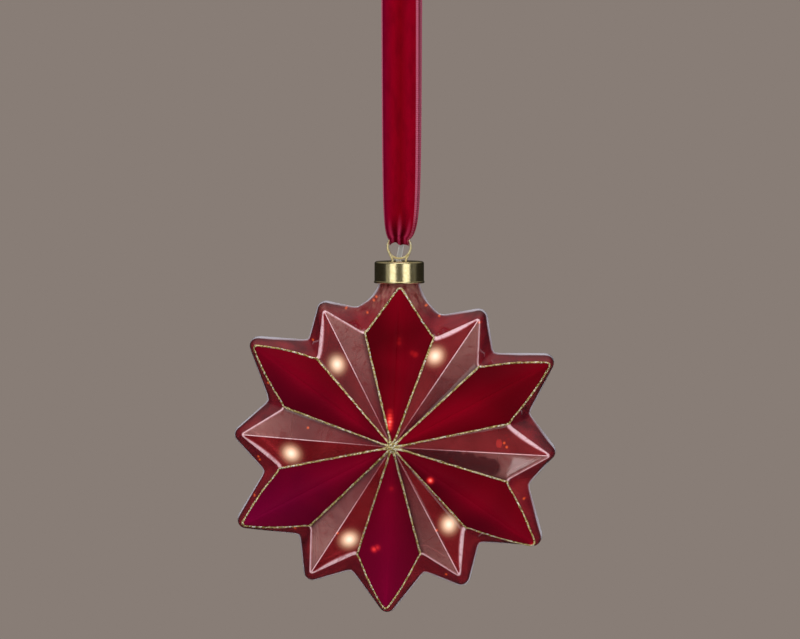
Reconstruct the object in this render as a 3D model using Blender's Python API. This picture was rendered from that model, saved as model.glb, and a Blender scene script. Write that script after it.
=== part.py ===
"""A hanging star-flower light: a hollow glass flower on a gold cap, a wire hanger and a velvet ribbon loop.

Metres, +Z up, the front faces -Y. The origin is the inside of the ribbon's crown, where a hook holds it.
The cap, the battery holder, the glass neck and the cells share one vertical axis through the origin.
"""

import math

import bmesh
import bpy
from mathutils import Matrix, Vector

# Clearances between neighbours
FIT = 0.0003
STACK_GAP = 0.00015
CUT_OVERRUN = 0.0010

# Velvet ribbon
RIBBON_WIDTH = 0.0150
RIBBON_THICKNESS = 0.0008
RIBBON_DROP = 0.1061  # from the hook to the centre of the ring's top wire
CROWN_RADIUS = 0.0050  # inside radius of the loop over the hook
LAP_START = 0.0080  # how far below the hook the inner end of the sewn lap lies
LAP_LENGTH = 0.0100
FRONT_BAND_SHIFT = 0.0006
REAR_BAND_SHIFT = 0.0016
SHIFT_HEIGHT = 0.0040
GATHER_HEIGHT = 0.0032
GATHER_SHARE = 0.47  # how much of its width the ribbon loses in the ring
PLEAT_DEPTH = 0.0019
PLEAT_COUNT = 3
PLEAT_FADE_HEIGHT = 0.0055
SADDLE_HEIGHT = 0.0050
RING_SWING = math.radians(22)  # the fold's edges splay open, so that the ring can swing this far in it
RIBBON_POINTS_ACROSS = 13

# Wire hanger
WIRE_DIAMETER = 0.0009
RING_RADIUS = 0.0046
RING_PITCH = 0.00105  # sideways step of the coil in one turn
RING_SPREAD_SHARE = 0.7  # half the coil's width under the ribbon, in turns of its pitch
RING_LIFT = 0.0007  # free height between the ring and the cap
LEG_ANGLE = math.radians(25)  # how far below the ring's middle the legs leave it
CLINCH_LENGTH = 0.0020
CLINCH_DROP = 0.00055  # from the cap sheet to the clinched wire's top
LEG_BEND = 0.0005
RIBBON_ON_WIRE_GAP = 0.00027

# Gold cap
CAP_SHEET = 0.0004
CAP_HEIGHT = 0.0087
CAP_EDGE_ROUND = 0.0006
CAP_BEAD = 0.00025
CAP_BEAD_HEIGHT = 0.0008
LEG_HOLE_CLEARANCE = 0.00035
TAB_SLOT_CLEARANCE = 0.00035

# Button cells and their contacts
CELL_DIAMETER = 0.0116
CELL_HEIGHT = 0.0054
CELL_COUNT = 3
CELL_CLEARANCE = 0.00045
CELL_STEP_SHARE = 0.80  # radius of the raised negative face
CELL_STEP_HEIGHT = 0.0005
SPRING_WIRE = 0.0005
SPRING_HEIGHT = 0.0034
SPRING_TOP_SHARE = 0.42
SPRING_FOOT_SHARE = 0.86
SPRING_TURNS = 2.5
CONTACT_WIDTH = 0.0014
CONTACT_THICKNESS = 0.0002

# Battery holder, between the cap and the glass neck
HOLDER_WALL = 0.0007
HOLDER_TOP = 0.0008
SKIRT_WALL = 0.00075
CLINCH_ROOM = 0.0017  # free height between the cap's sheet and the holder
RIM_GAP = 0.0004
SKIRT_SHORTFALL = 0.0004  # how far the skirt stays above the cap's lower edge

# Isolator tab: a clear strip that leans to the right
TAB_WIDTH = 0.0020
TAB_THICKNESS = 0.00025
TAB_ABOVE_CAP = 0.0085
TAB_BELOW_CAP = 0.0080
TAB_FOOT_X = -0.0006
TAB_LEAN = math.radians(11)

# End cap, circuit board and switch
END_CAP_HEIGHT = 0.0066
END_CAP_WALL = 0.0008
BOARD_THICKNESS = 0.0008
BOARD_LEDGE = 0.0009
SWITCH_LENGTH = 0.0056
SWITCH_WIDTH = 0.0028
SWITCH_HEIGHT = 0.0026
KNOB_LENGTH = 0.0016
KNOB_WIDTH = 0.0014
KNOB_STAND = 0.0012  # how far the knob stands out of the end cap
KNOB_TRAVEL = 0.0020

# Lead and light string
LEAD_DIAMETER = 0.0007
LEAD_COIL_RADIUS = 0.0037
LEAD_PITCH = 0.0041
LEAD_TURNS = 3
LEAD_STRAIGHT = 0.0012
STRING_DIAMETER = 0.0006
BULB_DIAMETER = 0.0026
BULB_LENGTH = 0.0034
BULB_NECK_SHARE = 0.62
BULB_SHOULDER_SHARE = 0.35

# Glass star: sizes about its centre, on the mould's seam plane
GLASS_WALL = 0.0009
STAR_X = -0.0015
NECK_FLARE = 0.0090  # from the cap's lower edge down to the level of the notches' radius
PETAL_COUNT = 12
PETAL_CLOCKING = math.radians(3)
HUB_DEPTH = 0.0260
SHOULDER_RADIUS = 0.0460
SHOULDER_DEPTH = 0.0130
TIP_DEPTH = 0.0150
ENAMEL_TIP_RADIUS = 0.0680
CLEAR_TIP_RADIUS = 0.0610
TOP_TIP_GAP = 0.0027  # the painted petal under the neck is shorter, and ends this far below the cap
TOP_TIP_DEPTH = 0.0104
FOOT_TIP_RADIUS = 0.0655
SEAM_OVERHANG = 0.0027  # how far the seam stands outside the painted tips
CLEAR_SEAM_OVERHANG = 0.0032
NOTCH_RADIUS = 0.0545
PETAL_TIP_ROUND = 0.0010
SEAM_TIP_ROUND = 0.0040
WALL_BULGE = 0.0006
NECK_FOOT = 0.0006  # straight neck below the cap's lower edge
FLARE_SAG = 0.0008
FLARE_ROWS = 3
FLARE_REACH = 9  # how fast the flare's outline fades towards the petal's middle

# Paint and glitter on the petals
ENAMEL_THICKNESS = 0.0003
ENAMEL_LIFT = 0.00038
ENAMEL_MARGIN = 0.0012
GLITTER_DIAMETER = 0.0008
GLITTER_LIFT = 0.00080
GLITTER_START_SHARE = 0.060
DROP_RADIUS = 0.0019
DROP_HEIGHT = 0.0008
DROP_CROWN_SHARE = 0.55
DROP_LIFT = 0.00035

# Places of the lights along the string: degrees clockwise from the top, then the distance from the centre
# as a share of the shoulders' radius, and the depth in front of the seam as a share of the hub's depth
LIGHT_PLACE_SHARES = (
    (2, 0.806, 0.42),
    (25, 0.849, 0.46),
    (91, 0.902, 0.06),
    (145, 0.837, 0.46),
    (186, 0.917, 0.30),
    (205, 0.905, 0.43),
    (265, 0.887, 0.44),
    (325, 0.849, 0.46),
    (345, 0.185, 0.78),
    (137, 0.458, 0.60),
)
# The string's route, from the lead to its end, with the lights' numbers where it meets them
STRING_ROUTE_SHARES = (
    (6, 0.532, 0.05),
    (0, 0.621, 0.30),
    0,
    1,
    (45, 0.887, 0.38),
    (68, 0.917, 0.18),
    2,
    (112, 0.902, 0.16),
    (128, 0.872, 0.38),
    3,
    (162, 0.887, 0.40),
    4,
    5,
    (225, 0.917, 0.30),
    (246, 0.917, 0.30),
    6,
    (285, 0.902, 0.34),
    (305, 0.872, 0.36),
    7,
    (334, 0.710, 0.46),
    (342, 0.443, 0.62),
    8,
    (120, 0.192, 0.72),
    9,
    (141, 0.577, 0.52),
)

# Levels and radii that follow from the sizes above
RING_TOP_Z = -RIBBON_DROP
RING_Z = RING_TOP_Z - RING_RADIUS
CAP_TOP_Z = RING_Z - RING_RADIUS - WIRE_DIAMETER / 2 - RING_LIFT
CAP_UNDERSIDE_Z = CAP_TOP_Z - CAP_SHEET
CAP_FOOT_Z = CAP_TOP_Z - CAP_HEIGHT
CELL_RADIUS = CELL_DIAMETER / 2
TUBE_BORE = CELL_RADIUS + CELL_CLEARANCE
TUBE_RADIUS = TUBE_BORE + HOLDER_WALL
NECK_BORE = TUBE_RADIUS + FIT
NECK_RADIUS = NECK_BORE + GLASS_WALL
SKIRT_BORE = NECK_RADIUS + FIT
SKIRT_RADIUS = SKIRT_BORE + SKIRT_WALL
CAP_BORE = SKIRT_RADIUS + FIT
CAP_RADIUS = CAP_BORE + CAP_SHEET
HOLDER_TOP_Z = CAP_UNDERSIDE_Z - CLINCH_ROOM
HOLDER_CEILING_Z = HOLDER_TOP_Z - HOLDER_TOP
NECK_TOP_Z = HOLDER_CEILING_Z - RIM_GAP
NECK_FOOT_Z = CAP_FOOT_Z - NECK_FOOT
CELL_TOP_Z = HOLDER_CEILING_Z - STACK_GAP
CELLS_FOOT_Z = CELL_TOP_Z - CELL_COUNT * (CELL_HEIGHT + STACK_GAP)
SPRING_FOOT_Z = CELLS_FOOT_Z - SPRING_HEIGHT
END_CAP_TOP_Z = SPRING_FOOT_Z
BOARD_TOP_Z = END_CAP_TOP_Z - STACK_GAP
BOARD_FOOT_Z = BOARD_TOP_Z - BOARD_THICKNESS
LEDGE_Z = BOARD_FOOT_Z - STACK_GAP
SWITCH_FOOT_Z = LEDGE_Z - SWITCH_HEIGHT
END_CAP_FOOT_Z = END_CAP_TOP_Z - END_CAP_HEIGHT
KNOB_FOOT_Z = END_CAP_FOOT_Z - KNOB_STAND
TAB_Y = CELL_RADIUS + STACK_GAP + TAB_THICKNESS / 2
STAR_DROP = NOTCH_RADIUS + NECK_FLARE
STAR_Z = CAP_FOOT_Z - STAR_DROP
TOP_TIP_RADIUS = STAR_DROP - TOP_TIP_GAP
HALF_PETAL = math.pi / PETAL_COUNT
SHARP_ANGLE = math.radians(25)


def clear_scene():
    for thing in list(bpy.data.objects):
        bpy.data.objects.remove(thing, do_unlink=True)


def make_material(name, colour, roughness, metallic=0.0, transmission=0.0):
    material = bpy.data.materials.new(name)
    material.use_nodes = True
    shader = material.node_tree.nodes["Principled BSDF"]
    shader.inputs["Base Color"].default_value = (*colour, 1.0)
    shader.inputs["Roughness"].default_value = roughness
    shader.inputs["Metallic"].default_value = metallic
    shader.inputs["Transmission Weight"].default_value = transmission
    material.diffuse_color = (*colour, 1.0)
    return material


def make_materials():
    return {
        "velvet": make_material("red_velvet", (0.20, 0.001, 0.010), 0.95),
        "gold": make_material("pale_gold_plate", (0.82, 0.68, 0.36), 0.15, metallic=1.0),
        "glass": make_material("red_glass", (0.35, 0.01, 0.02), 0.05, transmission=0.8),
        "enamel": make_material("deep_red_enamel", (0.14, 0.001, 0.008), 0.35),
        "glitter": make_material("gold_glitter", (0.55, 0.48, 0.16), 0.45, metallic=0.8),
        "plastic": make_material("white_plastic", (0.80, 0.79, 0.76), 0.4),
        "film": make_material("clear_film", (0.66, 0.67, 0.66), 0.1, transmission=0.9),
        "steel": make_material("nickel_steel", (0.60, 0.60, 0.58), 0.25, metallic=1.0),
        "board": make_material("green_board", (0.02, 0.16, 0.07), 0.5),
        "black": make_material("black_plastic", (0.02, 0.02, 0.02), 0.45),
        "copper": make_material("lacquered_copper", (0.55, 0.26, 0.10), 0.3, metallic=1.0),
        "resin": make_material("clear_resin", (0.95, 0.85, 0.60), 0.1, transmission=0.6),
    }


def make_empty(name, place, parent=None):
    """A joint's frame. place is in world coordinates."""
    empty = bpy.data.objects.new(name, None)
    bpy.context.scene.collection.objects.link(empty)
    empty.parent = parent
    empty["place"] = tuple(place)
    above = Vector(parent["place"]) if parent else Vector()
    empty.location = Vector(place) - above
    return empty


def seat(thing, carrier):
    """Hangs a thing, whose data is in world coordinates, from a joint's frame."""
    thing.data.transform(Matrix.Translation(-Vector(carrier["place"])))
    thing.parent = carrier
    return thing


def finish_mesh(name, shape, material, carrier):
    """Turns a closed bmesh's faces outward and makes it an object."""
    bmesh.ops.recalc_face_normals(shape, faces=shape.faces)
    if shape.calc_volume(signed=True) < 0:
        bmesh.ops.reverse_faces(shape, faces=shape.faces)
    mesh = bpy.data.meshes.new(name)
    shape.to_mesh(mesh)
    shape.free()
    mesh.shade_smooth()
    mesh.set_sharp_from_angle(angle=SHARP_ANGLE)
    mesh.materials.append(material)
    thing = bpy.data.objects.new(name, mesh)
    bpy.context.scene.collection.objects.link(thing)
    return seat(thing, carrier)


def add_mesh(name, points, faces, material, carrier):
    shape = bmesh.new()
    corners = [shape.verts.new(point) for point in points]
    for face in faces:
        shape.faces.new([corners[index] for index in face])
    return finish_mesh(name, shape, material, carrier)


def add_wire(name, points, diameter, material, carrier, bevel_resolution=1, cyclic=False):
    curve = bpy.data.curves.new(name, "CURVE")
    curve.dimensions = "3D"
    curve.bevel_depth = diameter / 2
    curve.bevel_resolution = bevel_resolution
    curve.use_fill_caps = True
    spline = curve.splines.new("POLY")
    spline.points.add(len(points) - 1)
    for knot, point in zip(spline.points, points):
        knot.co = (*point, 1.0)
    spline.use_cyclic_u = cyclic
    curve.materials.append(material)
    thing = bpy.data.objects.new(name, curve)
    bpy.context.scene.collection.objects.link(thing)
    return seat(thing, carrier)


def turned(profile, sides):
    """Points and faces of a profile of (radius, z) turned about Z. A radius of zero ends it on the axis."""
    points, rings = [], []
    for radius, z in profile:
        if radius == 0:
            rings.append(None)
            continue
        rings.append(range(len(points), len(points) + sides))
        for step in range(sides):
            turn = 2 * math.pi * step / sides
            points.append(Vector((radius * math.cos(turn), radius * math.sin(turn), z)))
    faces = []
    for here, there in zip(rings, rings[1:] + rings[:1]):
        if here is None and there is None:
            continue
        if here is None or there is None:
            faces.append(list(here or there))
            continue
        for step in range(sides):
            after = (step + 1) % sides
            faces.append([here[step], here[after], there[after], there[step]])
    return points, faces


def add_turned(name, profile, sides, material, carrier):
    points, faces = turned(profile, sides)
    return add_mesh(name, points, faces, material, carrier)


def box_shape(low, high):
    corners = [Vector((x, y, z)) for x in (low[0], high[0]) for y in (low[1], high[1]) for z in (low[2], high[2])]
    faces = [(0, 1, 3, 2), (4, 6, 7, 5), (0, 4, 5, 1), (2, 3, 7, 6), (0, 2, 6, 4), (1, 5, 7, 3)]
    return corners, faces


def add_cutter(target, name, points, faces, carrier):
    """A hidden tool that a Boolean takes out of its target."""
    cutter = add_mesh(name, points, faces, None, carrier)
    cutter.hide_render = True
    cutter.display_type = "WIRE"
    cut = target.modifiers.new(name, "BOOLEAN")
    cut.operation = "DIFFERENCE"
    cut.object = cutter
    return cutter


def smooth_route(knots, steps):
    """A Catmull-Rom curve through the knots."""
    ends = [2 * knots[0] - knots[1], *knots, 2 * knots[-1] - knots[-2]]
    route = []
    for before, a, b, after in zip(ends, ends[1:], ends[2:], ends[3:]):
        for step in range(steps):
            t = step / steps
            route.append(
                (
                    2 * a
                    + (b - before) * t
                    + (2 * before - 5 * a + 4 * b - after) * t**2
                    + (3 * a - before - 3 * b + after) * t**3
                )
                / 2
            )
    return [*route, knots[-1]]


def rounded_corners(points, reach, steps=3):
    """The same path with each inner corner replaced by a short curve."""
    path = [points[0]]
    for before, corner, after in zip(points, points[1:], points[2:]):
        start = corner + (before - corner).normalized() * min(reach, (before - corner).length / 2)
        end = corner + (after - corner).normalized() * min(reach, (after - corner).length / 2)
        for step in range(steps + 1):
            t = step / steps
            path.append(start * (1 - t) ** 2 + corner * 2 * t * (1 - t) + end * t**2)
    return [*path, points[-1]]


# Ribbon


def ribbon_stations():
    """(y, z, outward normal, height above the ring's wire, sideways shift) along the loop's inner envelope."""
    half = RIBBON_THICKNESS / 2
    crown = CROWN_RADIUS + half
    crown_z = -CROWN_RADIUS
    fold = ring_half_width() + RIBBON_ON_WIRE_GAP + half
    lap_step = RIBBON_THICKNESS + FIT
    inner_end = Vector((crown - lap_step, -LAP_START))
    rear_foot = Vector((fold, RING_TOP_Z))
    lean = (inner_end - rear_foot) / (inner_end - rear_foot).length
    outer_start = inner_end - lean * LAP_LENGTH + Vector((lap_step, 0))
    rear_out = Vector((lean.y, -lean.x))
    front_foot = Vector((-fold, RING_TOP_Z))
    front_head = Vector((-crown, crown_z))
    front_lean = (front_head - front_foot).normalized()
    front_out = Vector((-front_lean.y, front_lean.x))
    stations = []

    def band(start, end, normal, shift, shares):
        for share in shares:
            place = start.lerp(end, share)
            stations.append((place, normal, shift))

    band(outer_start, Vector((crown, crown_z)), rear_out, REAR_BAND_SHIFT, (0, 0.5))
    crown_steps = 10
    for step in range(crown_steps + 1):
        turn = math.pi * step / crown_steps
        out = Vector((math.cos(turn), math.sin(turn)))
        shift = REAR_BAND_SHIFT + (FRONT_BAND_SHIFT - REAR_BAND_SHIFT) * step / crown_steps
        stations.append((Vector((0, crown_z)) + out * crown, out, shift))
    gather_shares = (0.30, 0.60, 0.75, 0.84, 0.89, 0.93, 0.955, 0.975, 0.99)
    band(front_head, front_foot, front_out, FRONT_BAND_SHIFT, gather_shares)
    fold_steps = 8
    for step in range(fold_steps + 1):
        turn = math.pi + math.pi * step / fold_steps
        out = Vector((math.cos(turn), math.sin(turn)))
        shift = FRONT_BAND_SHIFT + (REAR_BAND_SHIFT - FRONT_BAND_SHIFT) * step / fold_steps
        stations.append((Vector((0, RING_TOP_Z)) + out * fold, out, shift))
    band(inner_end, rear_foot, rear_out, REAR_BAND_SHIFT, gather_shares[::-1])
    stations.append((inner_end, rear_out, REAR_BAND_SHIFT))
    return stations


def ribbon_section(place, out, shift):
    """Inner and outer points across the ribbon at one station. It follows the ring's curve in the fold."""
    height = max(place.y - RING_TOP_Z, 0)
    width = RIBBON_WIDTH * (1 - GATHER_SHARE / (1 + height / GATHER_HEIGHT))
    pleat = PLEAT_DEPTH / (1 + (height / PLEAT_FADE_HEIGHT) ** 2)
    sag = 1 / (1 + (height / SADDLE_HEIGHT) ** 2)
    centre_x = shift * height / (height + SHIFT_HEIGHT)
    half = RIBBON_THICKNESS / 2
    inner, outer = [], []
    for step in range(RIBBON_POINTS_ACROSS):
        across = 2 * step / (RIBBON_POINTS_ACROSS - 1) - 1
        x = across * width / 2
        wave = (1 - math.cos(math.pi * PLEAT_COUNT * (across + 1))) / 2 * (1 - across**2 / 2)
        drop = RING_RADIUS - math.sqrt(max(RING_RADIUS**2 - x**2, 0))
        foot = Vector((centre_x + x, place.x, place.y - drop * sag))
        normal = Vector((0, out.x, out.y))
        lift = pleat * wave + drop * sag * math.sin(RING_SWING)
        inner.append(foot + normal * (lift - half))
        outer.append(foot + normal * (lift + half))
    return inner, outer


def make_ribbon(materials, carrier):
    rows = []
    for station in ribbon_stations():
        inner, outer = ribbon_section(*station)
        rows.append(outer + inner[::-1])
    count = len(rows[0])
    points = [point for row in rows for point in row]
    faces = [list(range(count)), list(range(len(points) - count, len(points)))]
    for row in range(len(rows) - 1):
        for step in range(count):
            after = (step + 1) % count
            here, there = row * count, (row + 1) * count
            faces.append((here + step, here + after, there + after, there + step))
    add_mesh("velvet_ribbon", points, faces, materials["velvet"], carrier)


# Wire hanger


def ring_half_width():
    """Half the coil's thickness where the ribbon lies on it, with the coil's drift at the ribbon's edges."""
    return RING_PITCH * RING_SPREAD_SHARE + WIRE_DIAMETER / 2


def leg_places():
    """Where the right leg leaves the ring, and where it meets the cap's top."""
    leave = Vector((math.cos(LEG_ANGLE), 0, -math.sin(LEG_ANGLE))) * RING_RADIUS + Vector((0, 0, RING_Z))
    drop = leave.z - CAP_TOP_Z
    reach = leave.x - drop * math.tan(LEG_ANGLE)
    return leave, Vector((reach, 0, CAP_TOP_Z))


def make_hanger(materials, carrier):
    leave, foot = leg_places()
    clinch_z = CAP_UNDERSIDE_Z - CLINCH_DROP - WIRE_DIAMETER / 2
    sweep = 3 * math.pi + 2 * LEG_ANGLE
    drift = RING_PITCH * sweep / (4 * math.pi)
    elbow_z = CAP_TOP_Z + LEG_BEND
    right = [
        Vector((leave.x, drift, leave.z)),
        Vector((foot.x + LEG_BEND * math.tan(LEG_ANGLE), 0, elbow_z)),
        Vector((foot.x, 0, clinch_z)),
        Vector((foot.x + CLINCH_LENGTH, 0, clinch_z)),
    ]
    left = [Vector((-p.x, -p.y, p.z)) for p in right]
    coil = []
    steps = 40
    for step in range(1, steps):
        turn = math.pi + LEG_ANGLE - sweep * step / steps
        y = drift * (2 * step / steps - 1)
        coil.append(Vector((RING_RADIUS * math.cos(turn), y, RING_Z + RING_RADIUS * math.sin(turn))))
    path = rounded_corners(left[::-1], LEG_BEND) + coil + rounded_corners(right, LEG_BEND)
    add_wire("hanger_loop", path, WIRE_DIAMETER, materials["gold"], carrier)


# Gold cap


def tab_shape(width, thickness, low, high):
    """A box that leans with the isolator tab, between two distances along it from the cap's top."""
    corners, faces = box_shape((-width / 2, -thickness / 2, low), (width / 2, thickness / 2, high))
    lean = Matrix.Rotation(TAB_LEAN, 4, "Y")
    foot = Vector((TAB_FOOT_X, TAB_Y, CAP_TOP_Z))
    return [lean @ corner + foot for corner in corners], faces


def make_cap(materials, carrier):
    bead_z = CAP_FOOT_Z + CAP_BEAD_HEIGHT
    edge = CAP_EDGE_ROUND * (1 - math.sqrt(0.5))
    profile = (
        (0, CAP_TOP_Z),
        (CAP_RADIUS - CAP_EDGE_ROUND, CAP_TOP_Z),
        (CAP_RADIUS - edge, CAP_TOP_Z - edge),
        (CAP_RADIUS, CAP_TOP_Z - CAP_EDGE_ROUND),
        (CAP_RADIUS, bead_z),
        (CAP_RADIUS + CAP_BEAD, bead_z - CAP_BEAD),
        (CAP_RADIUS + CAP_BEAD, CAP_FOOT_Z + CAP_BEAD),
        (CAP_RADIUS, CAP_FOOT_Z),
        (CAP_BORE, CAP_FOOT_Z),
        (CAP_BORE, CAP_UNDERSIDE_Z),
        (0, CAP_UNDERSIDE_Z),
    )
    cap = add_turned("gold_cap", profile, 32, materials["gold"], carrier)
    hole = WIRE_DIAMETER / 2 + LEG_HOLE_CLEARANCE
    low, high = CAP_UNDERSIDE_Z - CUT_OVERRUN, CAP_TOP_Z + CUT_OVERRUN
    reach = leg_places()[1].x
    for side, name in ((-1, "left_leg_hole"), (1, "right_leg_hole")):
        points, faces = turned(((0, high), (hole, high), (hole, low), (0, low)), 12)
        points = [point + Vector((side * reach, 0, 0)) for point in points]
        add_cutter(cap, name, points, faces, carrier)
    width = TAB_WIDTH + 2 * TAB_SLOT_CLEARANCE
    thickness = TAB_THICKNESS + 2 * TAB_SLOT_CLEARANCE
    slot = tab_shape(width, thickness, -CAP_SHEET - CUT_OVERRUN, CUT_OVERRUN)
    add_cutter(cap, "cap_tab_slot", *slot, carrier)


def make_tab(materials, carrier):
    points, faces = tab_shape(TAB_WIDTH, TAB_THICKNESS, -TAB_BELOW_CAP, TAB_ABOVE_CAP)
    add_mesh("isolator_tab", points, faces, materials["film"], carrier)


# Battery holder and what it carries


def make_holder(materials, carrier):
    skirt_z = CAP_FOOT_Z + SKIRT_SHORTFALL
    profile = (
        (0, HOLDER_TOP_Z),
        (SKIRT_RADIUS, HOLDER_TOP_Z),
        (SKIRT_RADIUS, skirt_z),
        (SKIRT_BORE, skirt_z),
        (SKIRT_BORE, HOLDER_CEILING_Z),
        (TUBE_RADIUS, HOLDER_CEILING_Z),
        (TUBE_RADIUS, END_CAP_TOP_Z + STACK_GAP),
        (TUBE_BORE, END_CAP_TOP_Z + STACK_GAP),
        (TUBE_BORE, HOLDER_CEILING_Z),
        (0, HOLDER_CEILING_Z),
    )
    holder = add_turned("battery_holder", profile, 32, materials["plastic"], carrier)
    width = TAB_WIDTH + 2 * TAB_SLOT_CLEARANCE
    outward = 2 * HOLDER_WALL + TAB_THICKNESS + CUT_OVERRUN
    low = -TAB_BELOW_CAP - TAB_SLOT_CLEARANCE
    points, faces = tab_shape(width, outward, low, 0)
    back = Vector((0, outward / 2 - TAB_THICKNESS / 2 - STACK_GAP, 0))
    add_cutter(holder, "holder_tab_slot", [point + back for point in points], faces, carrier)
    low_y, high_y = contact_span()
    points, faces = box_shape(
        (contact_x() - CONTACT_WIDTH / 2 - FIT, low_y - FIT, END_CAP_TOP_Z - CUT_OVERRUN),
        (contact_x() + CONTACT_WIDTH / 2 + FIT, high_y + HOLDER_WALL, contact_top() + FIT),
    )
    add_cutter(holder, "holder_contact_groove", points, faces, carrier)


def contact_x():
    """The side contact stands behind the tab's lower end, towards the middle of the wall."""
    return TAB_FOOT_X - TAB_BELOW_CAP * math.sin(TAB_LEAN) + TAB_WIDTH / 2 - CONTACT_WIDTH / 4


def contact_span():
    low = TAB_Y + TAB_THICKNESS / 2 + STACK_GAP
    return low, low + CONTACT_THICKNESS


def contact_top():
    return HOLDER_CEILING_Z - CONTACT_WIDTH


def make_cells_and_contacts(materials, carrier):
    for number in range(CELL_COUNT):
        top = CELL_TOP_Z - number * (CELL_HEIGHT + STACK_GAP)
        profile = (
            (0, top),
            (CELL_RADIUS, top),
            (CELL_RADIUS, top - CELL_HEIGHT + CELL_STEP_HEIGHT),
            (CELL_RADIUS * CELL_STEP_SHARE, top - CELL_HEIGHT + CELL_STEP_HEIGHT),
            (CELL_RADIUS * CELL_STEP_SHARE, top - CELL_HEIGHT),
            (0, top - CELL_HEIGHT),
        )
        add_turned(f"button_cell_{number + 1}", profile, 24, materials["steel"], carrier)
    low_y, high_y = contact_span()
    points, faces = box_shape(
        (contact_x() - CONTACT_WIDTH / 2, low_y, END_CAP_TOP_Z + STACK_GAP),
        (contact_x() + CONTACT_WIDTH / 2, high_y, contact_top()),
    )
    add_mesh("side_contact", points, faces, materials["steel"], carrier)
    steps = 24
    coil = []
    for step in range(steps + 1):
        share = step / steps
        radius = CELL_RADIUS * (SPRING_TOP_SHARE + (SPRING_FOOT_SHARE - SPRING_TOP_SHARE) * share)
        turn = 2 * math.pi * SPRING_TURNS * share
        top = CELLS_FOOT_Z - SPRING_WIRE / 2
        foot = SPRING_FOOT_Z + SPRING_WIRE / 2
        z = top + (foot - top) * share
        coil.append(Vector((radius * math.cos(turn), radius * math.sin(turn), z)))
    add_wire("contact_spring", coil, SPRING_WIRE, materials["steel"], carrier)


def make_end_cap(materials, carrier):
    floor_z = END_CAP_FOOT_Z + END_CAP_WALL
    board_bore = TUBE_RADIUS - END_CAP_WALL
    room = board_bore - BOARD_LEDGE
    profile = (
        (0, floor_z),
        (room, floor_z),
        (room, LEDGE_Z),
        (board_bore, LEDGE_Z),
        (board_bore, END_CAP_TOP_Z),
        (TUBE_RADIUS, END_CAP_TOP_Z),
        (TUBE_RADIUS, END_CAP_FOOT_Z),
        (0, END_CAP_FOOT_Z),
    )
    end_cap = add_turned("end_cap", profile, 24, materials["plastic"], carrier)
    reach = (KNOB_LENGTH + KNOB_TRAVEL) / 2 + FIT
    side = KNOB_WIDTH / 2 + FIT
    low, high = END_CAP_FOOT_Z - CUT_OVERRUN, floor_z + CUT_OVERRUN
    add_cutter(end_cap, "knob_slot", *box_shape((-reach, -side, low), (reach, side, high)), carrier)
    hole = LEAD_DIAMETER / 2 + FIT
    points, faces = turned(((0, high), (hole, high), (hole, low), (0, low)), 10)
    points = [point + Vector((0, LEAD_COIL_RADIUS, 0)) for point in points]
    add_cutter(end_cap, "lead_hole", points, faces, carrier)
    board = board_bore - FIT
    profile = ((0, BOARD_TOP_Z), (board, BOARD_TOP_Z), (board, BOARD_FOOT_Z), (0, BOARD_FOOT_Z))
    add_turned("circuit_board", profile, 24, materials["board"], carrier)
    low = (-SWITCH_LENGTH / 2, -SWITCH_WIDTH / 2, SWITCH_FOOT_Z)
    high = (SWITCH_LENGTH / 2, SWITCH_WIDTH / 2, LEDGE_Z)
    add_mesh("switch_body", *box_shape(low, high), materials["black"], carrier)


def make_knob(materials, carrier):
    middle = -KNOB_TRAVEL / 2
    low = (middle - KNOB_LENGTH / 2, -KNOB_WIDTH / 2, KNOB_FOOT_Z)
    high = (middle + KNOB_LENGTH / 2, KNOB_WIDTH / 2, SWITCH_FOOT_Z - STACK_GAP)
    add_mesh("switch_knob", *box_shape(low, high), materials["black"], carrier)


def lead_points():
    """Down from the board, through the end cap, and then a springy coil."""
    top = Vector((0, LEAD_COIL_RADIUS, LEDGE_Z))
    coil_z = END_CAP_FOOT_Z - LEAD_STRAIGHT
    steps = 12
    points = [top, Vector((0, LEAD_COIL_RADIUS, (top.z + coil_z) / 2))]
    for step in range(LEAD_TURNS * steps + 1):
        turn = 2 * math.pi * step / steps
        x, y = LEAD_COIL_RADIUS * math.sin(turn), LEAD_COIL_RADIUS * math.cos(turn)
        points.append(Vector((x, y, coil_z - LEAD_PITCH * step / steps)))
    points.append(points[-1] - Vector((0, 0, LEAD_STRAIGHT)))
    return points


# Light string


def star_place(degrees, radius, depth):
    turn = math.radians(degrees)
    return Vector((STAR_X + radius * math.sin(turn), -depth, STAR_Z + radius * math.cos(turn)))


def string_route():
    """The string's knots, straight through each light, and each light's place and direction."""
    start = lead_points()[-1] - Vector((0, 0, FIT))
    places = [start, start - Vector((0, 0, LEAD_STRAIGHT))]
    numbers = [None, None]
    for entry in STRING_ROUTE_SHARES:
        numbers.append(entry if isinstance(entry, int) else None)
        degrees, radius_share, depth_share = LIGHT_PLACE_SHARES[entry] if isinstance(entry, int) else entry
        places.append(star_place(degrees, radius_share * SHOULDER_RADIUS, depth_share * HUB_DEPTH))
    knots, lights = [], {}
    for index, (place, number) in enumerate(zip(places, numbers)):
        if number is None:
            knots.append(place)
            continue
        along = (places[index + 1] - places[index - 1]).normalized()
        lights[number] = (place, along)
        knots += [place + along * (BULB_LENGTH * step / 2) for step in range(-2, 3)]
    return knots, lights


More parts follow.
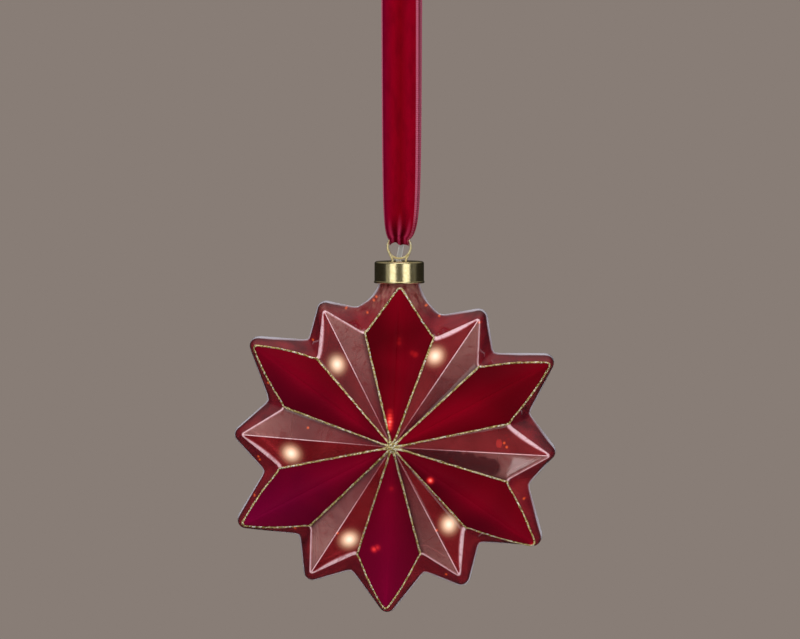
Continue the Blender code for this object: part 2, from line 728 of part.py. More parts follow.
def make_string(materials, carrier):
    knots, lights = string_route()
    add_wire("led_wire", smooth_route(knots, 3), STRING_DIAMETER, materials["copper"], carrier)
    bore = STRING_DIAMETER / 2 + FIT
    radius, half = BULB_DIAMETER / 2, BULB_LENGTH / 2
    neck = radius * BULB_NECK_SHARE
    shoulder = half * BULB_SHOULDER_SHARE
    profile = (
        (bore, half),
        (neck, half),
        (radius, shoulder),
        (radius, -shoulder),
        (neck, -half),
        (bore, -half),
    )
    for number, (place, along) in lights.items():
        points, faces = turned(profile, 8)
        turn = along.to_track_quat("Z", "Y").to_matrix()
        points = [turn @ point + place for point in points]
        add_mesh(f"led_{number + 1:02d}", points, faces, materials["resin"], carrier)


# Glass star


def tip_radius(petal):
    special = {0: TOP_TIP_RADIUS, PETAL_COUNT // 2: FOOT_TIP_RADIUS}
    return special.get(petal, CLEAR_TIP_RADIUS if petal % 2 else ENAMEL_TIP_RADIUS)


def seam_tip_radius(petal):
    return tip_radius(petal) + (CLEAR_SEAM_OVERHANG if petal % 2 else SEAM_OVERHANG)


def half_outline(side_radius, tip, rounding, shares, arc_steps=2):
    """(across, along) in a petal's own frame, from its side corner to its rounded tip."""
    corner = Vector((side_radius * math.sin(HALF_PETAL), side_radius * math.cos(HALF_PETAL)))
    centre = Vector((0, tip - rounding))
    away = centre - corner
    swing = math.asin(rounding / away.length)
    reach = math.sqrt(away.length**2 - rounding**2)
    heading = math.atan2(away.y, away.x) - swing
    touch = corner + Vector((math.cos(heading), math.sin(heading))) * reach
    outline = [corner.lerp(touch, share) for share in shares]
    start = math.atan2(touch.y - centre.y, touch.x - centre.x)
    for step in range(arc_steps + 1):
        turn = start + (math.pi / 2 - start) * step / arc_steps
        outline.append(centre + Vector((math.cos(turn), math.sin(turn))) * rounding)
    return outline


def petal_slopes(petal):
    """How the depth of a flat facet changes along the petal and across it."""
    tip_depth = TOP_TIP_DEPTH if petal == 0 else TIP_DEPTH
    along = (tip_depth - HUB_DEPTH) / tip_radius(petal)
    across_reach = SHOULDER_RADIUS * math.sin(HALF_PETAL)
    along_reach = SHOULDER_RADIUS * math.cos(HALF_PETAL)
    return along, (SHOULDER_DEPTH - HUB_DEPTH - along * along_reach) / across_reach


def kite_depth(petal, across, along):
    """Depth of a petal's face: two flat facets that meet in a ridge along its middle."""
    slope_along, slope_across = petal_slopes(petal)
    return HUB_DEPTH + slope_along * along + slope_across * abs(across)


def petal_place(petal, across, along, depth, side):
    """A petal's own (across, along, depth) in world coordinates. side is 1 at the front and -1 at the back."""
    turn = PETAL_CLOCKING + petal * 2 * HALF_PETAL
    x = along * math.sin(turn) + across * math.cos(turn)
    z = along * math.cos(turn) - across * math.sin(turn)
    return Vector((STAR_X + x, -side * depth, STAR_Z + z))


def petal_outlines(petal):
    """The face's outline and the seam's, each from the left corner over the tip to the right corner."""
    shares = (0,) if petal % 2 else (0, 0.5)
    both = []
    for side_radius, tip, rounding in (
        (SHOULDER_RADIUS, tip_radius(petal), PETAL_TIP_ROUND),
        (NOTCH_RADIUS, seam_tip_radius(petal), SEAM_TIP_ROUND),
    ):
        half = half_outline(side_radius, tip, rounding, shares)
        left = [Vector((-p.x, p.y)) for p in half]
        both.append(left + half[-2::-1])
    return both


def petal_columns(petal, side):
    """Each column's points from the face's rim down the side wall to the seam."""
    face, seam = petal_outlines(petal)
    centre = star_place(0, 0, 0)
    columns = []
    for edge, foot in zip(face, seam):
        rim = petal_place(petal, edge.x, edge.y, kite_depth(petal, edge.x, edge.y), side)
        base = petal_place(petal, foot.x, foot.y, 0, side)
        middle = rim.lerp(base, 0.5) + (base - centre).normalized() * WALL_BULGE
        columns.append([rim, middle, base])
    return columns


def neck_columns(walls, side):
    """The top petal's wall runs up into the neck instead of down to the seam."""
    count = len(walls) - 1

    def ring_place(column, z):
        turn = math.pi * column / count
        return Vector((-NECK_RADIUS * math.cos(turn), -side * NECK_RADIUS * math.sin(turn), z))

    borders = []
    for column in (0, count):
        notch, top = walls[column][-1], ring_place(column, NECK_FOOT_Z)
        inward = Vector((-notch.x, 0, 0)).normalized()
        flare = []
        for row in range(1, FLARE_ROWS + 1):
            share = row / FLARE_ROWS
            sag = (inward - Vector((0, 0, 1))) * FLARE_SAG * math.sin(math.pi * share)
            flare.append(notch.lerp(top, share) + sag)
        borders.append(walls[column] + flare)
    rows = len(borders[0]) - 1
    columns = []
    for column in range(count + 1):
        a = column / count
        rim, top = walls[column][0], ring_place(column, NECK_FOOT_Z)
        path = [rim]
        for row in range(1, rows + 1):
            v = row / rows
            place = rim.lerp(top, v)
            for border, near in ((borders[0], (1 - a) ** FLARE_REACH), (borders[1], a**FLARE_REACH)):
                place += (border[row] - border[0].lerp(border[-1], v)) * near
            path.append(place)
        columns.append([*path, ring_place(column, NECK_TOP_Z)])
    return columns


def make_glass(materials, carrier):
    shape = bmesh.new()

    def corner(place):
        return shape.verts.new(place)

    for side in (1, -1):
        hub = corner(star_place(0, 0, side * HUB_DEPTH))
        for petal in range(PETAL_COUNT):
            columns = petal_columns(petal, side)
            if petal == 0:
                columns = neck_columns(columns, side)
            grid = [[corner(place) for place in column] for column in columns]
            for left, right in zip(grid, grid[1:]):
                shape.faces.new((hub, left[0], right[0]))
                for row in range(len(left) - 1):
                    shape.faces.new((left[row], left[row + 1], right[row + 1], right[row]))
    bmesh.ops.remove_doubles(shape, verts=shape.verts, dist=STACK_GAP / 10)
    glass = finish_mesh("glass_body", shape, materials["glass"], carrier)
    wall = glass.modifiers.new("glass_wall", "SOLIDIFY")
    wall.thickness = GLASS_WALL
    wall.offset = -1
    wall.use_even_offset = True


# Paint and glitter


def inset_outline(outline, margin):
    """A closed outline of (across, along), drawn in by the margin."""
    lines = []
    for a, b in zip(outline, outline[1:] + outline[:1]):
        direction = (b - a).normalized()
        inward = Vector((direction.y, -direction.x))
        lines.append((a + inward * margin, direction))
    corners = []
    for (a, p), (b, q) in zip(lines[-1:] + lines[:-1], lines):
        cross = p.x * q.y - p.y * q.x
        gap = b - a
        corners.append(a + p * ((gap.x * q.y - gap.y * q.x) / cross))
    return corners


def make_enamel(petal, side, name, materials, carrier):
    """A skin of paint on the petal's two facets: a kite from the hub to the tip, folded along the ridge."""
    face, _ = petal_outlines(petal)
    kite = inset_outline([Vector((0, 0)), face[0], face[len(face) // 2], face[-1]], ENAMEL_MARGIN)
    count = len(kite)
    points = []
    for lift in (ENAMEL_LIFT + ENAMEL_THICKNESS, ENAMEL_LIFT):
        for across, along in kite:
            points.append(petal_place(petal, across, along, kite_depth(petal, across, along) + lift, side))
    faces = []
    for start in (0, count):
        hub, left, tip, right = range(start, start + count)
        faces += [(hub, left, tip), (hub, tip, right)]
    for step in range(count):
        after = (step + 1) % count
        faces.append((step, after, count + after, count + step))
    add_mesh(name, points, faces, materials["enamel"], carrier)


def make_outline(petal, side, name, materials, carrier):
    """A bead of glue and glitter along the petal's edges."""
    face, _ = petal_outlines(petal)
    path = []
    for across, along in [face[0] * GLITTER_START_SHARE, *face, face[-1] * GLITTER_START_SHARE]:
        depth = kite_depth(petal, across, along) + GLITTER_LIFT
        path.append(petal_place(petal, across, along, depth, side))
    add_wire(name, path, GLITTER_DIAMETER, materials["glitter"], carrier, cyclic=True)


def make_drop(side, name, materials, carrier):
    """The glitter that gathers where the outlines meet."""
    lift = HUB_DEPTH + DROP_LIFT
    profile = (
        (0, lift + DROP_HEIGHT),
        (DROP_RADIUS * DROP_CROWN_SHARE, lift + DROP_HEIGHT),
        (DROP_RADIUS, lift),
        (0, lift),
    )
    points, faces = turned(profile, 12)
    points = [Vector((STAR_X + p.x, -side * p.z, STAR_Z + p.y)) for p in points]
    add_mesh(name, points, faces, materials["glitter"], carrier)


def make_decoration(materials, carrier):
    for side, place in ((1, "front"), (-1, "rear")):
        for petal in range(0, PETAL_COUNT, 2):
            hour = petal or PETAL_COUNT
            make_enamel(petal, side, f"enamel_{place}_{hour:02d}", materials, carrier)
            make_outline(petal, side, f"glitter_{place}_{hour:02d}", materials, carrier)
        make_drop(side, f"glitter_drop_{place}", materials, carrier)


def make_light():
    clear_scene()
    materials = make_materials()
    hook = make_empty("hook_frame", (0, 0, 0))
    ring = make_empty("ribbon_pivot", (0, 0, RING_TOP_Z), hook)
    cap = make_empty("cap_pivot", (0, 0, CAP_TOP_Z - CAP_SHEET / 2), ring)
    glass = make_empty("neck_slide", (0, 0, NECK_TOP_Z), cap)
    tab = make_empty("tab_slide", (TAB_FOOT_X, TAB_Y, CAP_TOP_Z), cap)
    knob = make_empty("knob_slide", (0, 0, END_CAP_FOOT_Z), cap)
    make_ribbon(materials, hook)
    make_hanger(materials, ring)
    make_cap(materials, cap)
    make_tab(materials, tab)
    make_holder(materials, cap)
    make_cells_and_contacts(materials, cap)
    make_end_cap(materials, cap)
    make_knob(materials, knob)
    add_wire("lead_wire", lead_points(), LEAD_DIAMETER, materials["copper"], cap)
    make_glass(materials, glass)
    make_string(materials, glass)
    make_decoration(materials, glass)


make_light()
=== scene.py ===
import math

import bmesh
import bpy
from mathutils import Matrix, Vector, noise


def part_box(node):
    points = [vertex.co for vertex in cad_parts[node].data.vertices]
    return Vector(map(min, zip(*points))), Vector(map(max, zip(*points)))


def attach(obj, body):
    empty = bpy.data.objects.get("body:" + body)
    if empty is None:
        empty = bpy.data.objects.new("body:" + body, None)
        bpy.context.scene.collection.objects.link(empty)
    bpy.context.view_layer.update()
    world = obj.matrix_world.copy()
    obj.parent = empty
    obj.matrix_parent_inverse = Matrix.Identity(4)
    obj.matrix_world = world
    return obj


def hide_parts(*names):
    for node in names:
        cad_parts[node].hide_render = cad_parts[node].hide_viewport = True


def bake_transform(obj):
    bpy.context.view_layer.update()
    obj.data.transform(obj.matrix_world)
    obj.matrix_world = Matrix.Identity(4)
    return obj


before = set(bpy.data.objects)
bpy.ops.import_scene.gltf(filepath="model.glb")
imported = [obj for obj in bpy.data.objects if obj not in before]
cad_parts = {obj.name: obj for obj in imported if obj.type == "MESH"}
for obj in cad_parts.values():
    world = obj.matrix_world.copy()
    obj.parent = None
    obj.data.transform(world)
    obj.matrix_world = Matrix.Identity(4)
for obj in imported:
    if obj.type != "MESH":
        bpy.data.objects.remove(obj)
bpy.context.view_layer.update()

# Camera: the flower is seen from a little above and a little to its right, from far enough away for a flat,
# catalogue-like perspective.
CAMERA_AIM = Vector((0.0003, 0.0, -0.1398))
CAMERA_DISTANCE = 1.40
CAMERA_AZIMUTH = math.radians(2.9)
CAMERA_ELEVATION = math.radians(3.4)
CAMERA_LENS = 157.5
CAMERA_CLIP_END = 20

camera_data = bpy.data.cameras.new("camera")
camera_data.lens = CAMERA_LENS
camera_data.clip_end = CAMERA_CLIP_END
camera = bpy.data.objects.new("camera", camera_data)
bpy.context.scene.collection.objects.link(camera)
camera_back = Vector((
    math.sin(CAMERA_AZIMUTH) * math.cos(CAMERA_ELEVATION),
    -math.cos(CAMERA_AZIMUTH) * math.cos(CAMERA_ELEVATION),
    math.sin(CAMERA_ELEVATION),
))
camera.location = CAMERA_AIM + camera_back * CAMERA_DISTANCE
camera.rotation_euler = camera_back.to_track_quat("Z", "Y").to_euler()
bpy.context.scene.camera = camera


# Studio: a plain pale floor far below the light, an even warm-grey background, and white softboxes that
# give the glass and the gold their highlights. Reflections see a dark room beside them, as black cards would
# make it.
FLOOR_LEVEL = -0.62
FLOOR_RADIUS = 1.3
FLOOR_COLOUR = "D9D6D2"
FLOOR_SIDES = 96
FLOOR_FIBRE = "DDDAD6"
BACKGROUND_COLOUR = "887D76"
CARD_COLOUR = "22201E"
CEILING_COLOUR = "8C8884"
CEILING_RISE = (0.25, 0.7)  # how steeply up a reflection looks where the cards give way to the ceiling
ROOM_LIGHT = 0.42
SOFTBOXES = (
    # name, azimuth and elevation in degrees, distance, width, height, brightness, seen in reflections
    ("softbox_left", -27, 6, 1.60, 0.80, 1.10, 1.5, True),
    ("softbox_right", 36, 4, 1.70, 0.95, 1.10, 1.5, True),
    ("softbox_top", 10, 74, 1.10, 0.90, 0.60, 1.6, True),
    ("softbox_low", 75, -35, 1.00, 0.50, 0.50, 1.2, True),
    ("reflector_left", -53, -3, 1.60, 0.40, 0.60, 0.35, True),
    ("reflector_middle", 3, -3, 1.70, 0.80, 0.60, 0.09, True),
    ("reflector_right", 76, -3, 1.60, 0.66, 0.60, 0.10, True),
    ("corner_glint", 33.8, -55.0, 0.367, 0.020, 0.012, 4.0, True),
    ("key_light", -42, 38, 1.50, 0.70, 0.70, 5.0, False),
    ("fill_light", 48, 20, 1.80, 0.90, 0.90, 1.5, False),
    ("rear_left", -148, 18, 1.70, 0.90, 0.90, 2.4, False),
    ("rear_right", 148, 18, 1.70, 0.90, 0.90, 2.4, False),
)


def linear(hex_colour):
    """An sRGB hex colour as linear RGBA."""
    channels = [int(hex_colour[start:start + 2], 16) / 255 for start in (0, 2, 4)]
    return (*[c / 12.92 if c <= 0.04045 else ((c + 0.055) / 1.055) ** 2.4 for c in channels], 1.0)


def feed(node, feeds):
    """Gives a node's sockets, by name or place, a value, a hex colour, or a link from a node or a socket."""
    for name, value in feeds.items():
        named = [socket for place, socket in enumerate(node.inputs) if name in (place, socket.name)]
        socket = next(socket for socket in named if socket.enabled)
        if isinstance(value, bpy.types.Node):
            value = next(output for output in value.outputs if output.enabled)
        if isinstance(value, bpy.types.NodeSocket):
            node.id_data.links.new(value, socket)
        else:
            socket.default_value = linear(value) if isinstance(value, str) else value


def add(tree, kind, feeds=(), stops=(), **settings):
    """Adds a node with its settings and links. stops are the places and hex colours on a ramp."""
    node = tree.nodes.new(f"ShaderNode{kind}")
    for name, value in settings.items():
        setattr(node, name, value)
    feed(node, dict(feeds))
    for index, (place, colour) in enumerate(stops):
        elements = node.color_ramp.elements
        element = elements[index] if index < 2 else elements.new(place)
        element.position, element.color = place, linear(colour)
    return node


def start_finish(name, **sockets):
    """A material, its nodes, its shader and the coordinates that its patterns lie in, which are metres."""
    finish = bpy.data.materials.new(name)
    finish.use_nodes = True
    shader = finish.node_tree.nodes["Principled BSDF"]
    feed(shader, {socket.replace("_", " "): value for socket, value in sockets.items()})
    spot = add(finish.node_tree, "TexCoord").outputs["Object"]
    return finish, finish.node_tree, shader, spot


# Matt paper, with fibres about 1 mm long that hardly show.
floor_finish, floor_tree, floor_shader, floor_spot = start_finish("matt_paper_floor", Roughness=0.9)
fibre = add(floor_tree, "TexNoise", {"Vector": floor_spot, "Scale": 900.0, "Detail": 3.0})
paper = add(floor_tree, "ValToRGB", {"Fac": fibre}, [(0.3, FLOOR_COLOUR), (0.7, FLOOR_FIBRE)])
feed(floor_shader, {"Base Color": paper})
floor_shape = bmesh.new()
bmesh.ops.create_circle(floor_shape, cap_ends=True, radius=FLOOR_RADIUS, segments=FLOOR_SIDES)
floor_mesh = bpy.data.meshes.new("floor")
floor_shape.to_mesh(floor_mesh)
floor_shape.free()
floor_mesh.materials.append(floor_finish)
floor = bpy.data.objects.new("floor", floor_mesh)
floor.location.z = FLOOR_LEVEL
floor.visible_glossy = False
bpy.context.scene.collection.objects.link(floor)

for name, azimuth, elevation, distance, width, height, brightness, mirrored in SOFTBOXES:
    lamp = bpy.data.lights.new(name, "AREA")
    lamp.shape = "RECTANGLE"
    lamp.size, lamp.size_y = width, height
    lamp.energy = brightness * math.pi * width * height
    softbox = bpy.data.objects.new(name, lamp)
    turn, rise = math.radians(azimuth), math.radians(elevation)
    away = Vector((math.sin(turn) * math.cos(rise), -math.cos(turn) * math.cos(rise), math.sin(rise)))
    softbox.location = CAMERA_AIM + away * distance
    softbox.rotation_euler = away.to_track_quat("Z", "Y").to_euler()
    softbox.visible_glossy = mirrored
    softbox.visible_camera = False
    softbox.visible_transmission = False
    bpy.context.scene.collection.objects.link(softbox)

room = bpy.data.worlds.new("studio")
room.use_nodes = True
room_tree = room.node_tree
room_tree.nodes.clear()
ray = add(room_tree, "LightPath")
seen = add(
    room_tree, "Math", {0: ray.outputs["Is Camera Ray"], 1: ray.outputs["Is Transmission Ray"]},
    operation="MAXIMUM",
)
direction = add(room_tree, "SeparateXYZ", {0: add(room_tree, "TexCoord").outputs["Generated"]})
above = add(
    room_tree, "MapRange",
    {"Value": direction.outputs["Z"], "From Min": CEILING_RISE[0], "From Max": CEILING_RISE[1]},
)
mirrored_room = add(
    room_tree, "Mix", {"Factor": above, "A": CARD_COLOUR, "B": CEILING_COLOUR}, data_type="RGBA",
)
unseen = add(
    room_tree, "Mix",
    {"Factor": ray.outputs["Is Glossy Ray"], "A": (*[ROOM_LIGHT] * 3, 1.0), "B": mirrored_room},
    data_type="RGBA",
)
around = add(room_tree, "Mix", {"Factor": seen, "A": unseen, "B": BACKGROUND_COLOUR}, data_type="RGBA")
glow = add(room_tree, "Background", {"Color": around})
add(room_tree, "OutputWorld", {"Surface": glow})
bpy.context.scene.world = room
bpy.context.scene.view_settings.view_transform = "Standard"


# Glass star: clear glass blown into a two-part mould, then washed inside with translucent red lacquer. Every
# petal came out of the mould a little different. The six narrow petals stay clear and have sharp ridges.
STAR_X = -0.0015
STAR_BELOW_CAP = 0.0635
PETAL_COUNT = 12
HUB_DEPTH = 0.0260
SHOULDER_DEPTH = 0.0130
TIP_DEPTH = 0.0150
TOP_TIP_DEPTH = 0.0104
# (degrees clockwise from the top, millimetres from the centre) of each corner, from the top petal on. A
# petal's shoulders and notches are the ones before and after its tip.
FACE_TIPS = (
    (2.1, 62.1), (34.1, 60.3), (62.4, 69.7), (93.9, 62.0), (125.4, 68.4), (153.3, 58.2),
    (182.9, 65.6), (212.7, 61.2), (241.8, 68.2), (273.5, 60.5), (305.1, 67.6), (332.5, 59.9),
)
SHOULDERS = (
    (345.4, 45.2), (20.6, 44.8), (47.6, 45.1), (79.6, 45.7), (108.1, 46.5), (139.0, 42.9),
    (166.4, 44.2), (198.3, 45.7), (225.6, 46.2), (257.7, 45.8), (288.6, 45.5), (317.8, 45.1),
)
SEAM_TIPS = (
    (2.1, 64.8), (33.9, 63.5), (61.6, 71.3), (93.3, 64.3), (124.5, 70.4), (153.9, 64.2),
    (182.6, 68.9), (212.4, 66.0), (242.3, 71.5), (272.5, 64.9), (305.1, 70.6), (331.8, 63.3),
)
NOTCHES = (
    (343.9, 56.1), (19.5, 53.9), (47.8, 53.1), (77.8, 54.9), (107.8, 56.2), (140.4, 52.9),
    (167.6, 54.0), (199.0, 55.2), (225.7, 54.2), (256.9, 54.3), (287.8, 53.7), (319.3, 53.8),
)
PETAL_TIP_ROUND = 0.0010
SEAM_TIP_ROUND = 0.0040
RIM_BULGE = 0.0008  # the painted petals' outer edges are slightly convex
WALL_BULGE = 0.0006
NECK_RADIUS = 0.00815
NECK_FOOT = 0.0006
FLARE_SAG = 0.0008
FLARE_REACH = 9
GLASS_WALL = 0.0009
STRAIGHT_STEPS = 10  # columns of the mesh along a petal's straight edge
TIP_STEPS = 5  # and round half its tip
FACE_ROWS = 44
WALL_ROWS = 14
FLARE_ROWS = 10
NECK_ROWS = 3
PILLOW = 0.55  # painted petals are pillowed, clear ones sharp
SHARP = 0.02
MOULD_SOFTENING = 2  # rounds of smoothing
GLASS_IOR = 1.5
EDGE_LINE = 0.00017  # widths of the painted highlight lines along the clear petals' edges
RIM_LINE = 0.00040
RIM_BAND = 0.00170  # on one flank the rim's painted highlight swells into a painted reflection this wide
RIM_SWELL_START = 0.08
RIM_SWELL_SPAN = 0.9
RIM_SWELL_POWER = 0.7
RIM_FADE = 0.9  # how much of the rim line's width each row of the wall takes
# width of the painted shade along the valleys
VALLEY_SHADE = 0.0020
# The seam's painted pale line: its width across the front, and how deep it reaches down the walls and the
# neck.
SEAM_LINE = 0.00125
SEAM_DEPTH = 0.0042
NECK_SEAM_DEPTH = 0.0038
FAR = 1.0  # a gap too wide for a line, in metres, and for the seam in widths of its line
FAR_FROM_SEAM = 9.0
CLEAR_LAMPS = (1, 3, 5, 6, 7)  # the lamps that shine through clear petals
HALO_REACH = 0.0072
HUB_ZONE = (0.012, 0.052)  # how far from the star's middle the lacquer turns from red to the greyish painted reflection
NECK_ZONE = (0.050, 0.060)  # how far above the star's middle the walls' tones turn into the neck's
SPARK_REACH = 0.00075
# (x, z) from the star's middle, in millimetres, of each small orange spark painted as a lamp's reflection in
# the glass.
SPARKS = (
    (44.9, -0.6), (43.9, 1.0), (17.6, 50.5), (12.4, 54.8), (33.9, 48.6), (51.6, -22.0), (17.2, -33.6),
    (20.7, -52.4), (-54.4, -5.6), (-54.0, -7.0), (-56.0, -21.2), (-39.6, -33.8), (-39.6, -32.2),
    (-22.1, -35.0), (-7.3, 58.2), (-8.3, 56.8), (-10.8, 52.0), (-19.6, 53.6), (-32.6, 41.0), (-50.2, 24.1),
    (-33.8, 6.8),
)
# (x, z) from the star's middle, in millimetres, along the dark reflection painted on the right-hand clear
# petal.
DARK_REFLECTION_PLACES = ((12, -2.4), (18, -3.6), (24, -4.9), (30, -6.2), (35, -7.5), (39, -8.6))
DARK_REFLECTION_REACH = 0.0058

cap_low, cap_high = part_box("gold_cap")
NECK_TOP_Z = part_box("glass_body")[1].z
NECK_FOOT_Z = cap_low.z - NECK_FOOT
STAR_CENTRE = Vector((STAR_X, 0, cap_low.z - STAR_BELOW_CAP))
LAMPS = [(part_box(f"led_{number:02d}")[0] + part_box(f"led_{number:02d}")[1]) / 2 for number in range(1, 11)]
MIDDLE = STRAIGHT_STEPS + TIP_STEPS


def corner_of(table, petal):
    """(x, z) of a corner from the star's centre."""
    degrees, radius = table[petal % PETAL_COUNT]
    return Vector((math.sin(math.radians(degrees)), math.cos(math.radians(degrees)))) * radius / 1000


def tip_outline(before, after, tip, rounding, bulge):
    """Points from one side corner over the rounded tip to the other, and how far along its edge each lies."""
    points, shares = [], []
    for side, corner in ((-1, before), (1, after)):
        edge = (tip - corner).normalized()
        other = (tip - (after if side < 0 else before)).normalized()
        half_angle = math.acos(max(-1, min(1, edge.dot(other)))) / 2
        reach = rounding / math.sin(half_angle)  # from the tip, were it sharp, to the middle of its rounding
        sharp = tip * (1 + (reach - rounding) / tip.length)
        edge = (sharp - corner).normalized()
        other = (sharp - (after if side < 0 else before)).normalized()
        centre = sharp - (edge + other).normalized() * reach
        touch = centre + Vector((-edge.y, edge.x)) * rounding * (1 if side < 0 else -1)
        outward = (touch - centre).normalized()
        half = []
        for step in range(STRAIGHT_STEPS):
            share = step / STRAIGHT_STEPS
            half.append(corner.lerp(touch, share) + outward * bulge * 4 * share * (1 - share))
        crown = (sharp - centre).normalized()
        swing = outward.angle_signed(crown)
        for step in range(TIP_STEPS + 1):
            turn = -swing * step / TIP_STEPS
            spoke = Vector((
                outward.x * math.cos(turn) - outward.y * math.sin(turn),
                outward.x * math.sin(turn) + outward.y * math.cos(turn),
            ))
            half.append(centre + spoke * rounding)
        along = [min(step / STRAIGHT_STEPS, 1.0) for step in range(len(half))]
        if side < 0:
            points, shares = half, along
        else:
            points += half[-2::-1]
            shares += along[-2::-1]
    return points, shares


def face_depth(petal, place):
    """Depth of a petal's face at (x, z): two facets from the hub that meet in a ridge, sharp or pillowed."""
    tip = corner_of(FACE_TIPS, petal)
    shoulder = corner_of(SHOULDERS, petal + (1 if place.x * tip.y - place.y * tip.x > 0 else 0))
    cross = tip.x * shoulder.y - tip.y * shoulder.x
    u = (place.x * shoulder.y - place.y * shoulder.x) / cross
    v = (tip.x * place.y - tip.y * place.x) / cross
    left_over = max(1 - u - v, 0.0)
    u_in = max(u, 0.0)
    mean = 2 * u_in * left_over / (u_in + left_over) if u_in + left_over > 0 else 0.0
    bent = 1.0
    if v > 1e-6:
        soft = SHARP if petal % 2 else PILLOW
        share = v / (v + mean)
        bent = (math.sqrt(share**2 + soft**2) - soft) / (math.sqrt(1 + soft**2) - soft) / share
    tip_depth = TIP_DEPTH if petal else TOP_TIP_DEPTH
    return HUB_DEPTH + u * (tip_depth - HUB_DEPTH) + v * (SHOULDER_DEPTH - HUB_DEPTH) * bent


def star_place(place, depth, side):
    return STAR_CENTRE + Vector((place.x, -side * depth, place.y))


def petal_outlines(petal):
    """The rim's outline with each point's share along its edge, and the seam's outline."""
    bulge = 0 if petal % 2 or petal == 0 else RIM_BULGE
    shoulders = corner_of(SHOULDERS, petal), corner_of(SHOULDERS, petal + 1)
    notches = corner_of(NOTCHES, petal), corner_of(NOTCHES, petal + 1)
    rim_line, shares = tip_outline(*shoulders, corner_of(FACE_TIPS, petal), PETAL_TIP_ROUND, bulge)
    seam_line, _ = tip_outline(*notches, corner_of(SEAM_TIPS, petal), SEAM_TIP_ROUND, 0)
    return rim_line, shares, seam_line


def petal_columns(petal, side):
    """Columns of points from the hub out to the face's rim, and from there down the side wall to the seam."""
    rim_line, _, seam_line = petal_outlines(petal)
    columns = []
    for edge, foot in zip(rim_line, seam_line):
        column = []
        for row in range(FACE_ROWS + 1):
            place = edge * (row / FACE_ROWS)
            column.append(star_place(place, face_depth(petal, place), side))
        rim, base = column[-1], star_place(foot, 0, side)
        out = (base - STAR_CENTRE).normalized()
        for row in range(1, WALL_ROWS + 1):
            share = row / WALL_ROWS
            column.append(rim.lerp(base, share) + out * WALL_BULGE * 4 * share * (1 - share))
        columns.append(column)
    return columns


def neck_ring(share, side, level):
    turn = math.pi * share
    return Vector((-NECK_RADIUS * math.cos(turn), -side * NECK_RADIUS * math.sin(turn), level))


def neck_columns(columns, side):
    """The top petal's wall runs up into the neck instead of down to the seam."""
    shares = [0.25 * step / STRAIGHT_STEPS for step in range(STRAIGHT_STEPS)]
    shares += [0.25 + 0.25 * step / TIP_STEPS for step in range(TIP_STEPS + 1)]
    shares += [1 - share for share in shares[-2::-1]]
    borders = []
    for column in (0, 2 * MIDDLE):
        wall = columns[column][FACE_ROWS:]
        notch, top = wall[-1], neck_ring(shares[column], side, NECK_FOOT_Z)
        lean = Vector((-notch.x, 0, 0)).normalized() - Vector((0, 0, 1))
        flare = []
        for row in range(1, FLARE_ROWS + 1):
            share = row / FLARE_ROWS
            flare.append(notch.lerp(top, share) + lean * FLARE_SAG * math.sin(math.pi * share))
        borders.append(wall + flare)
    rows = len(borders[0]) - 1
    result = []
    for column, share in enumerate(shares):
        rim, top = columns[column][FACE_ROWS], neck_ring(share, side, NECK_FOOT_Z)
        path = list(columns[column][:FACE_ROWS + 1])
        for row in range(1, rows + 1):
            v = row / rows
            place = rim.lerp(top, v)
            for border, near in ((borders[0], (1 - share) ** FLARE_REACH), (borders[1], share**FLARE_REACH)):
                place += (border[row] - border[0].lerp(border[-1], v)) * near
            path.append(place)
        for row in range(1, NECK_ROWS + 1):
            path.append(neck_ring(share, side, NECK_FOOT_Z + (NECK_TOP_Z - NECK_FOOT_Z) * row / NECK_ROWS))
        result.append(path)
    return result


def link_piece(name, shape, finish, body, slot, *nodes):
    """Makes a bmesh one of the light's pieces, riding on a body, in place of the solids it stands for."""
    mesh = bpy.data.meshes.new(name)
    shape.to_mesh(mesh)
    shape.free()
    mesh.shade_smooth()
    mesh.materials.append(finish)
    piece = bpy.data.objects.new(name, mesh)
    bpy.context.scene.collection.objects.link(piece)
    if body:
        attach(piece, body)
    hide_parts(*nodes)
    return piece


def note(piece, name, kind, values):
    """Keeps a value for each of a piece's corners, for its finish to read."""
    kept = piece.data.attributes.new(name, kind, "POINT")
    kept.data.foreach_set("vector" if kind == "FLOAT_VECTOR" else "value", values)


star = bmesh.new()
corners, gaps_of = {}, {}


def star_corner(place):
    """The star's corner at a place, shared by the petals that meet there."""
    key = tuple(round(c * 1e6) for c in place)
    if key not in corners:
        corners[key] = star.verts.new(place)
    return corners[key]


def line_gap(place, start, end):
    """How far a place lies from the line through two others."""
    along = (end - start).normalized()
    return abs((place.x - start.x) * along.y - (place.y - start.y) * along.x)


